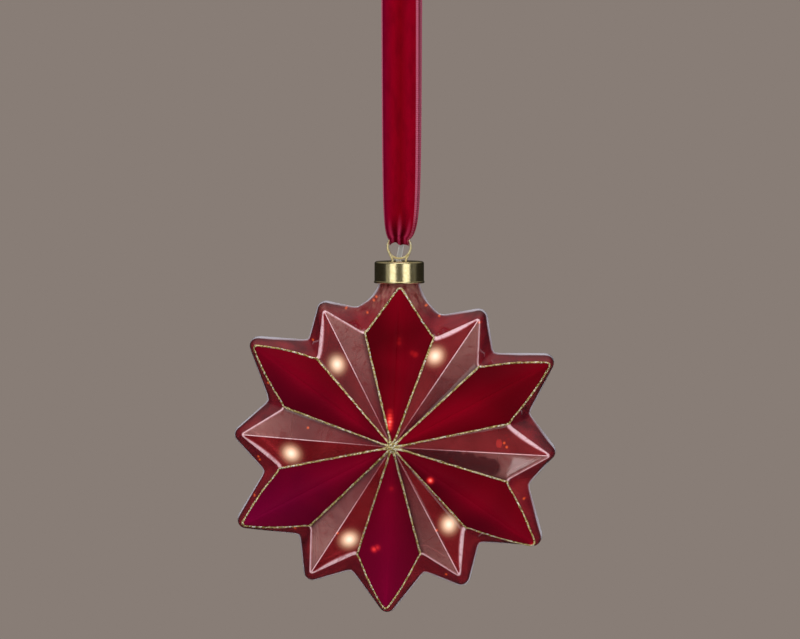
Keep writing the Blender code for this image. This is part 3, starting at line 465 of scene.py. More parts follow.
def note_gaps(petal, grid):
    """Notes how far each corner lies from the petals' edges and from the seam, for the lacquer's colour and
    its painted highlights, reflection and shade.
    """
    tip = corner_of(FACE_TIPS, petal)
    hub = Vector((0, 0))
    rim_line, shares, seam_line = petal_outlines(petal)
    for index, column in enumerate(grid):
        flank = -1 if index < MIDDLE else 1 if index > MIDDLE else 0
        shoulder = corner_of(SHOULDERS, petal + 1 if flank > 0 else petal)
        swell_share = min(shares[index] * RIM_SWELL_SPAN + RIM_SWELL_START, 1.0)
        swell = math.sin(math.pi * swell_share) ** RIM_SWELL_POWER
        width = RIM_LINE if flank > 0 else RIM_LINE + (RIM_BAND - RIM_LINE) * swell
        for row, corner in enumerate(column):
            down = row - FACE_ROWS
            ridge, valley, seam = FAR, FAR, FAR_FROM_SEAM
            if down <= 0:
                at = rim_line[index] * (row / FACE_ROWS)
                ridge, valley = line_gap(at, hub, tip), line_gap(at, hub, shoulder)
                rim = (1 - row / FACE_ROWS) * line_gap(hub, shoulder, tip) / width
            else:
                rim = 1 + down * RIM_FADE
                share = min(down / WALL_ROWS, 1.0)
                flat_gap = (1 - share) * (seam_line[index] - rim_line[index]).length
                seam = max(flat_gap / SEAM_LINE, (1 - share) * SHOULDER_DEPTH / SEAM_DEPTH)
                if petal == 0:
                    seam = abs(corner.co.y) / NECK_SEAM_DEPTH
            gaps_of[corner] = (ridge / EDGE_LINE, rim, valley / VALLEY_SHADE, seam, flank, down > 0)


grids = {}
for petal in [*range(0, PETAL_COUNT, 2), *range(1, PETAL_COUNT, 2)]:
    for side in (1, -1):
        columns = petal_columns(petal, side)
        if petal == 0:
            columns = neck_columns(columns, side)
        grid = [[star_corner(place) for place in column] for column in columns]
        note_gaps(petal, grid)
        grids[side, petal] = grid
        for left, right in zip(grid, grid[1:]):
            for row in range(len(left) - 1):
                ring = [left[row], left[row + 1], right[row + 1], right[row]]
                if row == 0:
                    ring = ring[:3]
                star.faces.new(ring)
inner = [corner for corner in star.verts if not corner.is_boundary]
for _ in range(MOULD_SOFTENING):
    bmesh.ops.smooth_vert(star, verts=inner, factor=0.5, use_axis_x=True, use_axis_y=True, use_axis_z=True)
bmesh.ops.recalc_face_normals(star, faces=star.faces)
if sum(face.normal.dot(face.calc_center_median() - STAR_CENTRE) for face in star.faces) < 0:
    bmesh.ops.reverse_faces(star, faces=star.faces)
star.normal_update()

# What the painted petals' skins and glitter are laid on: each petal's face with its outward directions.
faces_of = {
    key: [[(corner.co.copy(), corner.normal.copy()) for corner in column[:FACE_ROWS + 1]] for column in grid]
    for key, grid in grids.items()
}
# Where each lamp's light leaves the front: the place on the glass straight before it.
glow_places = []
for lamp in LAMPS:
    near = min(
        (corner.co for corner in star.verts if corner.co.y < 0),
        key=lambda co: (co.x - lamp.x) ** 2 + (co.z - lamp.z) ** 2,
    )
    glow_places.append(Vector((lamp.x, near.y, lamp.z)))
gap_rows = [gaps_of[corner] for corner in star.verts]


def glow_near(tree, spot, places, reach):
    """How strongly light leaves near some (place, strength): a bell round each, the strongest counted."""
    total = 0.0
    for place, strength in places:
        gap = add(tree, "VectorMath", {0: spot, 1: tuple(place)}, operation="DISTANCE")
        bell = add(
            tree, "MapRange", {"Value": gap, "From Min": reach, "From Max": 0.0, "To Max": strength},
            interpolation_type="SMOOTHSTEP",
        )
        total = add(tree, "Math", {0: total, 1: bell}, operation="MAXIMUM")
    return total


def on_star(places):
    """(x, z, strength) in millimetres from the star's middle as the places that glow_near wants."""
    return [((STAR_CENTRE.x + x / 1000, 0, STAR_CENTRE.z + z / 1000), strength) for x, z, strength in places]


glass_finish, glass_tree, glass_shader, glass_spot = start_finish(
    "blown_glass_with_red_lacquer", IOR=GLASS_IOR, Roughness=0.04, Emission_Strength=1.0,
)
edge_gaps = add(glass_tree, "Attribute", attribute_name="edge_gaps").outputs["Vector"]
edges = add(glass_tree, "SeparateXYZ", {0: edge_gaps})
zone_marks = add(glass_tree, "Attribute", attribute_name="zones").outputs["Vector"]
zones = add(glass_tree, "SeparateXYZ", {0: zone_marks})
on_wall = zones.outputs["Y"]
seam_gap = add(glass_tree, "Attribute", attribute_name="seam_gap").outputs["Fac"]
axes = add(glass_tree, "SeparateXYZ", {0: glass_spot})
flat_spot = add(glass_tree, "VectorMath", {0: glass_spot, 1: (1.0, 0.0, 1.0)}, operation="MULTIPLY")
from_hub = add(glass_tree, "VectorMath", {0: flat_spot, 1: tuple(STAR_CENTRE)}, operation="DISTANCE")
# Painted reflection: one flank of each clear petal is painted pale and greyish, as a mirrored softbox would
# make it, and the other keeps the deep red of the lacquer. The colours swirl over about 15 mm, and the pale
# flank turns redder near the hub.
swirl = add(glass_tree, "TexNoise", {"Vector": glass_spot, "Scale": 65.0, "Detail": 3.0, "Distortion": 0.8})
deep_flank = add(glass_tree, "ValToRGB", {"Fac": swirl}, [(0.3, "90242E"), (0.5, "A43038"), (0.7, "B23840")])
pale_reflection = add(glass_tree, "ValToRGB", {"Fac": swirl}, [(0.3, "B07A78"), (0.5, "C48E8A"), (0.7, "D2A09A")])
near_hub = add(glass_tree, "ValToRGB", {"Fac": swirl}, [(0.3, "8A2A38"), (0.7, "A03A46")])
outer = add(glass_tree, "MapRange", {"Value": from_hub, "From Min": HUB_ZONE[0], "From Max": HUB_ZONE[1]})
reflecting_flank = add(glass_tree, "MapRange", {"Value": zones.outputs["X"], "From Min": -0.05, "From Max": 0.25})
reflection_from_hub = add(glass_tree, "Mix", {"Factor": outer, "A": near_hub, "B": pale_reflection}, data_type="RGBA")
flanks = add(glass_tree, "Mix", {"Factor": reflecting_flank, "A": deep_flank, "B": reflection_from_hub}, data_type="RGBA")
# Painted shade: a dark band along each valley, on the reflecting flank only.
valley = add(
    glass_tree, "MapRange", {"Value": edges.outputs["Z"], "From Min": 1.0, "From Max": 0.15, "To Max": 0.8},
)
valley = add(glass_tree, "Math", {0: valley, 1: reflecting_flank}, operation="MULTIPLY")
shaded = add(glass_tree, "Mix", {"Factor": valley, "A": flanks, "B": "5A3038"}, data_type="RGBA")
# On the front of the right-hand clear petal a dark ragged patch is painted, a painted reflection of the dark
# room.
ragged = add(glass_tree, "Math", {0: swirl, 1: 0.5}, operation="SUBTRACT")
dark_reflection = glow_near(glass_tree, flat_spot, on_star((x, z, 1.0) for x, z in DARK_REFLECTION_PLACES), DARK_REFLECTION_REACH)
dark_reflection = add(glass_tree, "Math", {0: dark_reflection, 1: ragged}, operation="ADD")
dark_reflection = add(glass_tree, "MapRange", {"Value": dark_reflection, "From Min": 0.2, "From Max": 0.4, "To Max": 0.85})
on_front = add(glass_tree, "MapRange", {"Value": axes.outputs["Y"], "From Min": 0.001, "From Max": -0.001})
dark_reflection = add(glass_tree, "Math", {0: dark_reflection, 1: on_front}, operation="MULTIPLY")
dark_reflection = add(glass_tree, "Math", {0: dark_reflection, 1: reflecting_flank}, operation="MULTIPLY")
face = add(glass_tree, "Mix", {"Factor": dark_reflection, "A": shaded, "B": "6A3238"}, data_type="RGBA")
# The side walls keep more lacquer. In the neck it ran down in streaks about 1 mm wide.
wall = add(
    glass_tree, "ValToRGB", {"Fac": swirl},
    [(0.32, "6E1A2A"), (0.45, "8E2434"), (0.60, "A42C3A"), (0.72, "B4363E")],
)
runs = add(glass_tree, "VectorMath", {0: glass_spot, 1: (1.0, 1.0, 0.10)}, operation="MULTIPLY")
runs = add(glass_tree, "TexNoise", {"Vector": runs, "Scale": 620.0, "Detail": 2.0})
neck = add(
    glass_tree, "ValToRGB", {"Fac": runs},
    [(0.34, "7C3028"), (0.44, "A85C58"), (0.54, "B67672"), (0.64, "CC9684")],
)
on_neck = add(
    glass_tree, "MapRange",
    {"Value": axes.outputs["Z"], "From Min": STAR_CENTRE.z + NECK_ZONE[0],
     "From Max": STAR_CENTRE.z + NECK_ZONE[1]},
)
wall_and_neck = add(glass_tree, "Mix", {"Factor": on_neck, "A": wall, "B": neck}, data_type="RGBA")
whole = add(glass_tree, "Mix", {"Factor": on_wall, "A": face, "B": wall_and_neck}, data_type="RGBA")
# Painted highlights: pale lines along the ridge and the rims, where the rounded glass would catch the light.
# The ridge's line fades towards the hub.
ridge_highlight = add(glass_tree, "MapRange", {"Value": edges.outputs["X"], "From Min": 1.2, "From Max": 0.7})
ridge_fade = add(glass_tree, "MapRange", {"Value": outer, "From Max": 0.6, "To Min": 0.25})
ridge_highlight = add(glass_tree, "Math", {0: ridge_highlight, 1: ridge_fade}, operation="MULTIPLY")
rim_line = add(glass_tree, "MapRange", {"Value": edges.outputs["Y"], "From Min": 1.1, "From Max": 0.6})
lines = add(glass_tree, "Math", {0: ridge_highlight, 1: rim_line}, operation="MAXIMUM")
on_face = add(glass_tree, "Math", {0: 1.0, 1: on_wall}, operation="SUBTRACT")
lines = add(glass_tree, "Math", {0: lines, 1: on_face}, operation="MULTIPLY")
highlighted = add(glass_tree, "Mix", {"Factor": lines, "A": whole, "B": "F0C8D0"}, data_type="RGBA")
# The seam has a painted pale reflection, with a painted dark shade line inside it. Both only show where the
# wall is seen at a glancing angle.
facing = add(glass_tree, "LayerWeight", {"Blend": 0.5}).outputs["Facing"]
glancing = add(glass_tree, "MapRange", {"Value": facing, "From Min": 0.5, "From Max": 0.8})
seam_shade = add(
    glass_tree, "MapRange", {"Value": seam_gap, "From Min": 2.2, "From Max": 1.2, "To Max": 0.75},
)
seam_shade = add(glass_tree, "Math", {0: seam_shade, 1: glancing}, operation="MULTIPLY")
seamed = add(glass_tree, "Mix", {"Factor": seam_shade, "A": highlighted, "B": "4A1C28"}, data_type="RGBA")
seam_reflection = add(glass_tree, "MapRange", {"Value": seam_gap, "From Min": 1.1, "From Max": 0.8})
seam_reflection = add(glass_tree, "Math", {0: seam_reflection, 1: glancing}, operation="MULTIPLY")
# Thin streaks of lacquer, about 5 mm apart, ran through it while it dried.
streak = add(
    glass_tree, "TexNoise", {"Vector": glass_spot, "Scale": 95.0, "Detail": 1.0, "Distortion": 3.0},
)
streak = add(glass_tree, "Math", {0: streak, 1: 0.5}, operation="SUBTRACT")
streak = add(glass_tree, "Math", {0: streak}, operation="ABSOLUTE")
streak = add(glass_tree, "MapRange", {"Value": streak, "From Min": 0.03, "From Max": 0.005, "To Max": 0.45})
streaked = add(glass_tree, "Mix", {"Factor": streak, "A": seamed, "B": "96141E"}, data_type="RGBA")
lacquer = add(glass_tree, "Mix", {"Factor": seam_reflection, "A": streaked, "B": "E2DEEA"}, data_type="RGBA")
# The lacquer lets less light through on the walls, and least along the painted highlight lines and the seam's
# painted reflection.
painted_pale_lines = add(glass_tree, "Math", {0: lines, 1: seam_reflection}, operation="MAXIMUM")
below_neck = add(glass_tree, "Math", {0: on_wall, 1: on_neck}, operation="SUBTRACT")
through = add(glass_tree, "MapRange", {"Value": below_neck, "To Min": 0.74, "To Max": 0.55})
cloudy = add(glass_tree, "MapRange", {"Value": painted_pale_lines, "To Min": 1.0, "To Max": 0.25})
clearness = add(glass_tree, "Math", {0: through, 1: cloudy}, operation="MULTIPLY")
# Painted glow: a soft cream halo round each lamp is painted into the lacquer as emission, weaker beyond the
# ridge, with painted reflections of the lamps as small orange sparks.
halo = glow_near(glass_tree, glass_spot, [(glow_places[index], 1.0) for index in CLEAR_LAMPS], HALO_REACH)
beyond = add(glass_tree, "MapRange", {"Value": reflecting_flank, "To Min": 1.0, "To Max": 0.6})
halo = add(glass_tree, "Math", {0: halo, 1: beyond}, operation="MULTIPLY")
halo = add(
    glass_tree, "ValToRGB", {"Fac": halo},
    [(0.0, "000000"), (0.16, "261E16"), (0.41, "605642"), (0.59, "8E866C"), (0.77, "B8B292"),
     (0.91, "DCD6B6"), (1.0, "F8F2D8")],
)
spark = glow_near(glass_tree, flat_spot, on_star((x, z, 1.0) for x, z in SPARKS), SPARK_REACH)
glints = add(glass_tree, "Mix", {"Factor": spark, "A": halo, "B": "B8541C"}, data_type="RGBA")
feed(glass_shader, {"Base Color": lacquer, "Transmission Weight": clearness, "Emission Color": glints})

glass = link_piece("glass_star", star, glass_finish, "glass", "red_glass", "glass_body")
note(glass, "edge_gaps", "FLOAT_VECTOR", [gap for row in gap_rows for gap in row[:3]])
note(glass, "zones", "FLOAT_VECTOR", [mark for row in gap_rows for mark in (row[4], float(row[5]), 0.0)])
note(glass, "seam_gap", "FLOAT", [row[3] for row in gap_rows])
glass.visible_shadow = False
wall_thickness = glass.modifiers.new("glass_wall", "SOLIDIFY")
wall_thickness.thickness = GLASS_WALL
wall_thickness.offset = -1


# Enamel: opaque dark-red lacquer brushed over every second petal, on both sides. It dries satin, with soft
# purple and darker drifts. The lights behind it are painted on it as dull red glows.
ENAMEL_LIFT = 0.00010
ENAMEL_THICKNESS = 0.00014
ENAMEL_FIRST_ROW = 1
EMBER_REACH = 0.0030
PURPLE_LEAN = (-0.6, 0.0, -0.8)  # the way in which the paint turns towards purple
PURPLE_ZONE = (-0.01, 0.06)  # from here to here that way from the star's middle
# (x, z) from the star's middle, in millimetres, and strength of each painted glow that stands for the light
# coming through the paint.
EMBERS = (
    (-1.0, 9.9, 1.0), (-1.1, 8.6, 0.92), (-1.1, 7.4, 0.8), (-1.0, 11.2, 0.9), (-1.0, 12.4, 0.78),
    (-1.0, 13.8, 0.62), (14.9, -13.4, 1.0), (-7.6, -41.4, 0.82), (-6.2, -40.6, 0.7), (8.7, 36.0, 0.58),
    (7.6, 36.6, 0.5), (2.3, 40.5, 0.46), (2.4, 42.0, 0.4), (-0.4, -16.6, 0.46), (55.1, -40.0, 0.7),
)

enamel_finish, enamel_tree, enamel_shader, enamel_spot = start_finish(
    "brushed_red_enamel", IOR=1.5, Specular_IOR_Level=0.02, Emission_Strength=1.0,
)
drift = add(
    enamel_tree, "TexNoise", {"Vector": enamel_spot, "Scale": 34.0, "Detail": 1.0, "Distortion": 0.4},
)
paint = add(
    enamel_tree, "ValToRGB", {"Fac": drift},
    [(0.32, "58000A"), (0.45, "66000E"), (0.58, "760012"), (0.70, "7E0015")],
)
# The paint turns towards purple on the star's lower left.
slant = add(enamel_tree, "VectorMath", {0: enamel_spot, 1: PURPLE_LEAN}, operation="DOT_PRODUCT")
middle_slant = Vector(PURPLE_LEAN).dot(STAR_CENTRE)
purple = add(
    enamel_tree, "MapRange",
    {"Value": slant, "From Min": middle_slant + PURPLE_ZONE[0], "From Max": middle_slant + PURPLE_ZONE[1],
     "To Max": 0.6},
)
paint = add(enamel_tree, "Mix", {"Factor": purple, "A": paint, "B": "6C0038"}, data_type="RGBA")
# Painted shade: the paint is darker towards the petal's outline.
from_ridge = add(enamel_tree, "Attribute", attribute_name="from_ridge").outputs["Fac"]
painted_edge_shade = add(
    enamel_tree, "MapRange", {"Value": from_ridge, "From Min": 0.1, "From Max": 1.0, "To Max": 0.42},
)
paint = add(enamel_tree, "Mix", {"Factor": painted_edge_shade, "A": paint, "B": "360008"}, data_type="RGBA")
# Brushed lacquer levels out, and leaves an orange peel with a grain of about 1.5 mm.
peel = add(enamel_tree, "TexNoise", {"Vector": enamel_spot, "Scale": 650.0, "Detail": 2.0})
peel = add(enamel_tree, "Bump", {"Strength": 0.3, "Distance": 0.0001, "Height": peel})
satin = add(enamel_tree, "MapRange", {"Value": drift, "To Min": 0.36, "To Max": 0.52})
flat_paint = add(enamel_tree, "VectorMath", {0: enamel_spot, 1: (1.0, 0.0, 1.0)}, operation="MULTIPLY")
ember = add(
    enamel_tree, "ValToRGB", {"Fac": glow_near(enamel_tree, flat_paint, on_star(EMBERS), EMBER_REACH)},
    [(0.0, "000000"), (0.3, "2A0203"), (0.6, "861210"), (0.85, "E83A32"), (1.0, "FF8C7C")],
)
feed(enamel_shader, {"Base Color": paint, "Normal": peel, "Roughness": satin, "Emission Color": ember})


def join_rows(shape, rows, closed=True):
    """Adds the faces between each row of corners and the next. Closed rows run all the way round."""
    for here, there in zip(rows, rows[1:]):
        for step in range(len(here) if closed else len(here) - 1):
            after = (step + 1) % len(here)
            shape.faces.new([here[step], here[after], there[after], there[step]])


for (side, petal), columns in faces_of.items():
    if petal % 2:
        continue
    painted = [column[ENAMEL_FIRST_ROW:] for column in columns]
    skin = bmesh.new()
    layers = [
        [[skin.verts.new(place + out * lift) for place, out in column] for column in painted]
        for lift in (ENAMEL_LIFT + ENAMEL_THICKNESS, ENAMEL_LIFT)
    ]
    for layer in layers:
        join_rows(skin, layer, closed=False)
    join_rows(skin, [
        layer[0] + [column[-1] for column in layer[1:-1]] + layer[-1][::-1]
        + [column[0] for column in layer[-2:0:-1]]
        for layer in layers
    ])
    bmesh.ops.recalc_face_normals(skin, faces=skin.faces)
    node = f"enamel_{'front' if side == 1 else 'rear'}_{petal or PETAL_COUNT:02d}"
    skin_piece = link_piece(f"{node}_skin", skin, enamel_finish, "glass", "enamel", node)
    off_ridge = [abs(index - MIDDLE) / MIDDLE for index, column in enumerate(painted) for _ in column]
    note(skin_piece, "from_ridge", "FLOAT", off_ridge * len(layers))


# Glitter: a bead of clear glue full of pale-gold flakes, squeezed from a tube round each painted petal. The
# six outlines run together in a drop at the middle of the star.
BEAD_RADIUS = 0.00044
BEAD_LIFT = 0.00018
BEAD_FLATNESS = 0.75
BEAD_STEP = 0.00036
BEAD_SIDES = 9
BEAD_FIRST_ROW = 1
BEAD_LUMPS = ((900, 0.26), (260, 0.16))  # swellings in a metre of bead, and the share that each adds
BEAD_WANDER = (330, 0.00012)  # turns in a metre as the tube wanders, and how far it strays
BEAD_GRAIN = (3100, 0.00011)  # the same for the flakes that stand out of the glue
BEAD_LOOK_AHEAD = 12  # a point's outward direction is that of the nearest of this many border corners
BEAD_SEED = 7  # gives the same wander and grain each run
HUB_SWELL = 0.55  # the bead is this much thicker at the hub
HUB_SWELL_REACH = 0.0050
FLAKE = 0.00040  # real flakes are 0.1 to 0.2 mm; drawn larger, so that they show
DROP_RADIUS = 0.0017
DROP_HEIGHT = 0.0012
DROP_RINGS = 16
DROP_SIDES = 56
DROP_SUNK = 0.0003
DROP_LOBES = 6
DROP_LOBE_SHARE = 0.16
DROP_GRAIN = (1900, 0.00022)
DROP_CLOCKING = math.radians(18)

glitter_finish, glitter_tree, glitter_shader, glitter_spot = start_finish(
    "gold_glitter_glue", IOR=1.5, Roughness=0.34, Metallic=0.55,
)
flakes = add(glitter_tree, "TexVoronoi", {"Vector": glitter_spot, "Scale": 1 / FLAKE, "Randomness": 1.0})
chance = add(glitter_tree, "SeparateColor", {0: flakes.outputs["Color"]})
flake_colour = add(
    glitter_tree, "ValToRGB", {"Fac": chance.outputs["Red"]},
    [(0.0, "56461C"), (0.25, "9A8640"), (0.45, "C6B064"), (0.65, "E2CE8C"), (0.8, "FFF4C8"), (1.0, "FFFFFF")],
)
flake_bump = add(
    glitter_tree, "Bump", {"Strength": 0.9, "Distance": 0.0002, "Height": chance.outputs["Green"]},
)
feed(glitter_shader, {"Base Color": flake_colour, "Normal": flake_bump})


def even_path(points, step, closed=False):
    """The same path with points at even distances along it."""
    points = list(points) + ([points[0]] if closed else [])
    result, carry = [points[0].copy()], step
    for a, b in zip(points, points[1:]):
        length, at = (b - a).length, carry
        while at <= length:
            result.append(a.lerp(b, at / length))
            at += step
        carry = at - length
    if closed and (result[-1] - result[0]).length < step / 2:
        result.pop()
    return result


def add_tube(shape, path, radii, sides, closed=False, flatness=1.0, lean=None):
    """Adds a tube along a path. lean gives each point's flattened direction."""
    count = len(path)
    rings = []
    frame_x = None
    for index, place in enumerate(path):
        before = path[index - 1] if index or closed else place
        after = path[(index + 1) % count] if index < count - 1 or closed else place
        along = (after - before).normalized()
        if lean is not None:
            frame_x = lean[index]
        elif frame_x is None:
            frame_x = along.orthogonal()
        frame_x = (frame_x - along * frame_x.dot(along)).normalized()
        frame_y = along.cross(frame_x)
        ring = []
        for step in range(sides):
            turn = 2 * math.pi * step / sides
            spoke = frame_x * math.cos(turn) * flatness + frame_y * math.sin(turn)
            ring.append(shape.verts.new(place + spoke * radii[index]))
        rings.append(ring)
    join_rows(shape, rings + rings[:1] if closed else rings)
    if not closed:
        for ring in (rings[0], rings[-1]):
            cap_middle = shape.verts.new(sum((corner.co for corner in ring), Vector()) / sides)
            for step in range(sides):
                shape.faces.new([ring[step], ring[(step + 1) % sides], cap_middle])


noise.seed_set(BEAD_SEED)
for (side, petal), columns in faces_of.items():
    if petal % 2:
        continue
    border = columns[0][BEAD_FIRST_ROW:] + [column[-1] for column in columns[1:-1]]
    border += columns[-1][:BEAD_FIRST_ROW - 1:-1]
    places = [place + out * BEAD_LIFT for place, out in border]
    path = even_path(places, BEAD_STEP, closed=True)
    leans = []
    nearest = 0
    for place in path:
        span = range(nearest, min(nearest + BEAD_LOOK_AHEAD, len(places)))
        nearest = min(span, key=lambda index: (places[index] - place).length)
        leans.append(border[nearest][1])
    hub = STAR_CENTRE - Vector((0, side * HUB_DEPTH, 0))
    radii, wandered = [], []
    for place, out in zip(path, leans):
        swell = 1 + HUB_SWELL * math.exp(-(((place - hub).length / HUB_SWELL_REACH) ** 2))
        lumps = sum(share * noise.noise(place * rate) for rate, share in BEAD_LUMPS)
        radii.append(BEAD_RADIUS * swell * (1 + lumps))
        wandered.append(place + noise.noise_vector(place * BEAD_WANDER[0]) * BEAD_WANDER[1])
    bead = bmesh.new()
    add_tube(bead, wandered, radii, BEAD_SIDES, closed=True, flatness=BEAD_FLATNESS, lean=leans)
    for corner in bead.verts:
        corner.co += noise.noise_vector(corner.co * BEAD_GRAIN[0]) * BEAD_GRAIN[1]
    bmesh.ops.recalc_face_normals(bead, faces=bead.faces)
    node = f"glitter_{'front' if side == 1 else 'rear'}_{petal or PETAL_COUNT:02d}"
    link_piece(f"{node}_bead", bead, glitter_finish, "glass", "glitter", node)

for side, name in ((1, "front"), (-1, "rear")):
    drop = bmesh.new()
    hub = STAR_CENTRE - Vector((0, side * (HUB_DEPTH - DROP_SUNK), 0))
    rings = []
    for ring_step in range(DROP_RINGS):
        rise = math.pi / 2 * ring_step / DROP_RINGS
        ring = []
        for step in range(DROP_SIDES):
            turn = 2 * math.pi * step / DROP_SIDES
            petals = 1 + DROP_LOBE_SHARE * math.cos(DROP_LOBES * (turn - DROP_CLOCKING))
            reach = DROP_RADIUS * petals * math.cos(rise)
            height = DROP_HEIGHT * math.sin(rise)
            place = hub + Vector((reach * math.sin(turn), -side * height, reach * math.cos(turn)))
            ring.append(drop.verts.new(place + noise.noise_vector(place * DROP_GRAIN[0]) * DROP_GRAIN[1]))
        rings.append(ring)
    crown = drop.verts.new(hub - Vector((0, side * DROP_HEIGHT, 0)))
    base = drop.verts.new(hub)
    join_rows(drop, rings)
    for step in range(DROP_SIDES):
        after = (step + 1) % DROP_SIDES
        drop.faces.new([rings[-1][step], rings[-1][after], crown])
        drop.faces.new([rings[0][after], rings[0][step], base])
    bmesh.ops.recalc_face_normals(drop, faces=drop.faces)
    link_piece(f"glitter_drop_{name}_blob", drop, glitter_finish, "glass", "glitter", f"glitter_drop_{name}")


# Lights: ten tiny diodes on a thin lacquered copper wire, each sealed in a drop of clear resin. They shine
# warm white, brightest at the chip in the middle of the drop.
LAMP_BRIGHTNESS = 0.9
CHIP_REACH = 0.0024
LAMP_SMOOTHING = 2

resin_finish, resin_tree, resin_shader, resin_spot = start_finish(
    "clear_epoxy_drop", IOR=1.53, Roughness=0.08, Emission_Strength=LAMP_BRIGHTNESS,
)
# Cast epoxy is faintly cloudy and straw-coloured.
cloud = add(resin_tree, "TexNoise", {"Vector": resin_spot, "Scale": 1500.0})
resin_colour = add(resin_tree, "ValToRGB", {"Fac": cloud}, [(0.3, "E8D8B0"), (0.7, "F6E9CC")])
chips = add(
    resin_tree, "ValToRGB",
    {"Fac": glow_near(resin_tree, resin_spot, [(lamp, 1.0) for lamp in LAMPS], CHIP_REACH)},
    [(0.0, "7A3A14"), (0.3, "F0B060"), (0.6, "FFE9B4"), (1.0, "FFFBEA")],
)
feed(resin_shader, {"Base Color": resin_colour, "Emission Color": chips})

for number in range(1, len(LAMPS) + 1):
    node = f"led_{number:02d}"
    bulb = bmesh.new()
    bulb.from_mesh(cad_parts[node].data)
    bmesh.ops.remove_doubles(bulb, verts=bulb.verts, dist=1e-6)
    piece = link_piece(f"{node}_drop", bulb, resin_finish, "glass", "resin", node)
    piece.modifiers.new("rounding", "SUBSURF").render_levels = LAMP_SMOOTHING


def coat(finish, *nodes):
    """Gives a finish to solids that show as they are."""
    for node in nodes:
        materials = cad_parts[node].data.materials
        materials.clear()
        materials.append(finish)


copper_finish, copper_tree, copper_shader, copper_spot = start_finish(
    "lacquered_copper_wire", Metallic=1.0, Roughness=0.3,
)
# The lacquer dulls the copper in patches a few millimetres long.
patches = add(copper_tree, "TexNoise", {"Vector": copper_spot, "Scale": 300.0, "Detail": 2.0})
copper_colour = add(copper_tree, "ValToRGB", {"Fac": patches}, [(0.35, "8A5030"), (0.65, "C88A5A")])
feed(copper_shader, {"Base Color": copper_colour})
coat(copper_finish, "led_wire")


# Battery holder, cells and switch: a white ABS plug and end cap, moulded in two halves, with three
# nickel-plated steel button cells, spring-steel contacts, a small circuit board and a black slide switch.
abs_finish, abs_tree, abs_shader, abs_spot = start_finish(
    "moulded_white_abs", IOR=1.52, Roughness=0.42, Subsurface_Weight=0.06, Subsurface_Scale=0.002,
)
flow = add(abs_tree, "TexNoise", {"Vector": abs_spot, "Scale": 180.0, "Detail": 2.0})
abs_colour = add(abs_tree, "ValToRGB", {"Fac": flow}, [(0.3, "E2E0D9"), (0.7, "ECEAE4")])
# Spark-eroded moulds leave a fine matt grain, about 0.1 mm across.
grain = add(abs_tree, "TexNoise", {"Vector": abs_spot, "Scale": 8000.0, "Detail": 1.0})
abs_bump = add(abs_tree, "Bump", {"Strength": 0.15, "Distance": 0.00003, "Height": grain})
feed(abs_shader, {"Base Color": abs_colour, "Normal": abs_bump})
coat(abs_finish, "battery_holder", "end_cap")

nickel_finish, nickel_tree, nickel_shader, nickel_spot = start_finish(
    "nickel_plated_steel", Metallic=1.0, Roughness=0.24,
)
# Tumbled in bulk before plating, the steel keeps fine marks half a millimetre long.
tumble = add(
    nickel_tree, "TexNoise", {"Vector": nickel_spot, "Scale": 2200.0, "Detail": 3.0, "Distortion": 1.2},
)
nickel_colour = add(nickel_tree, "ValToRGB", {"Fac": tumble}, [(0.35, "A9A8A2"), (0.65, "C9C8C2")])
nickel_gloss = add(nickel_tree, "MapRange", {"Value": tumble, "To Min": 0.16, "To Max": 0.34})
feed(nickel_shader, {"Base Color": nickel_colour, "Roughness": nickel_gloss})
coat(nickel_finish, "button_cell_1", "button_cell_2", "button_cell_3", "side_contact", "contact_spring")

board_finish, board_tree, board_shader, board_spot = start_finish(
    "glass_epoxy_board", IOR=1.5, Roughness=0.45,
)
# Woven glass cloth, about two threads to the millimetre, shows through the green solder mask.
weave = add(
    board_tree, "TexChecker",
    {"Vector": board_spot, "Scale": 2000.0, "Color1": "155A33", "Color2": "1C6A3E"},
)
feed(board_shader, {"Base Color": weave})
coat(board_finish, "circuit_board")

black_finish, black_tree, black_shader, black_spot = start_finish(
    "moulded_black_nylon", IOR=1.53, Roughness=0.5,
)
# The glass fibres in the nylon leave its surface finely mottled.
mottle = add(black_tree, "TexNoise", {"Vector": black_spot, "Scale": 5000.0, "Detail": 1.0})
black_colour = add(black_tree, "ValToRGB", {"Fac": mottle}, [(0.3, "19191A"), (0.7, "252526")])
feed(black_shader, {"Base Color": black_colour})
coat(black_finish, "switch_body", "switch_knob")


# Lead: lacquered copper wire from the circuit board, wound into a springy coil, so that the glass can be
# drawn off the holder without straining its joints.
LEAD_DIAMETER = 0.0007
LEAD_COIL_RADIUS = 0.0037
LEAD_PITCH = 0.0041
LEAD_TURNS = 3
LEAD_STRAIGHT = 0.0012
LEAD_STEPS = 40
LEAD_SIDES = 14

end_cap_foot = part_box("end_cap")[0].z
lead_low, lead_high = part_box("lead_wire")
lead_path = [Vector((0, LEAD_COIL_RADIUS, lead_high.z)), Vector((0, LEAD_COIL_RADIUS, end_cap_foot))]
for step in range(LEAD_TURNS * LEAD_STEPS + 1):
    turn = 2 * math.pi * step / LEAD_STEPS
    lead_path.append(Vector((
        LEAD_COIL_RADIUS * math.sin(turn), LEAD_COIL_RADIUS * math.cos(turn),
        end_cap_foot - LEAD_STRAIGHT - LEAD_PITCH * step / LEAD_STEPS,
    )))
lead_path.append(Vector((0, LEAD_COIL_RADIUS, lead_low.z)))
lead = bmesh.new()
add_tube(lead, lead_path, [LEAD_DIAMETER / 2] * len(lead_path), LEAD_SIDES)
bmesh.ops.recalc_face_normals(lead, faces=lead.faces)
lead_piece = link_piece("lead_coil", lead, copper_finish, None, "copper", "lead_wire")
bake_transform(lead_piece)


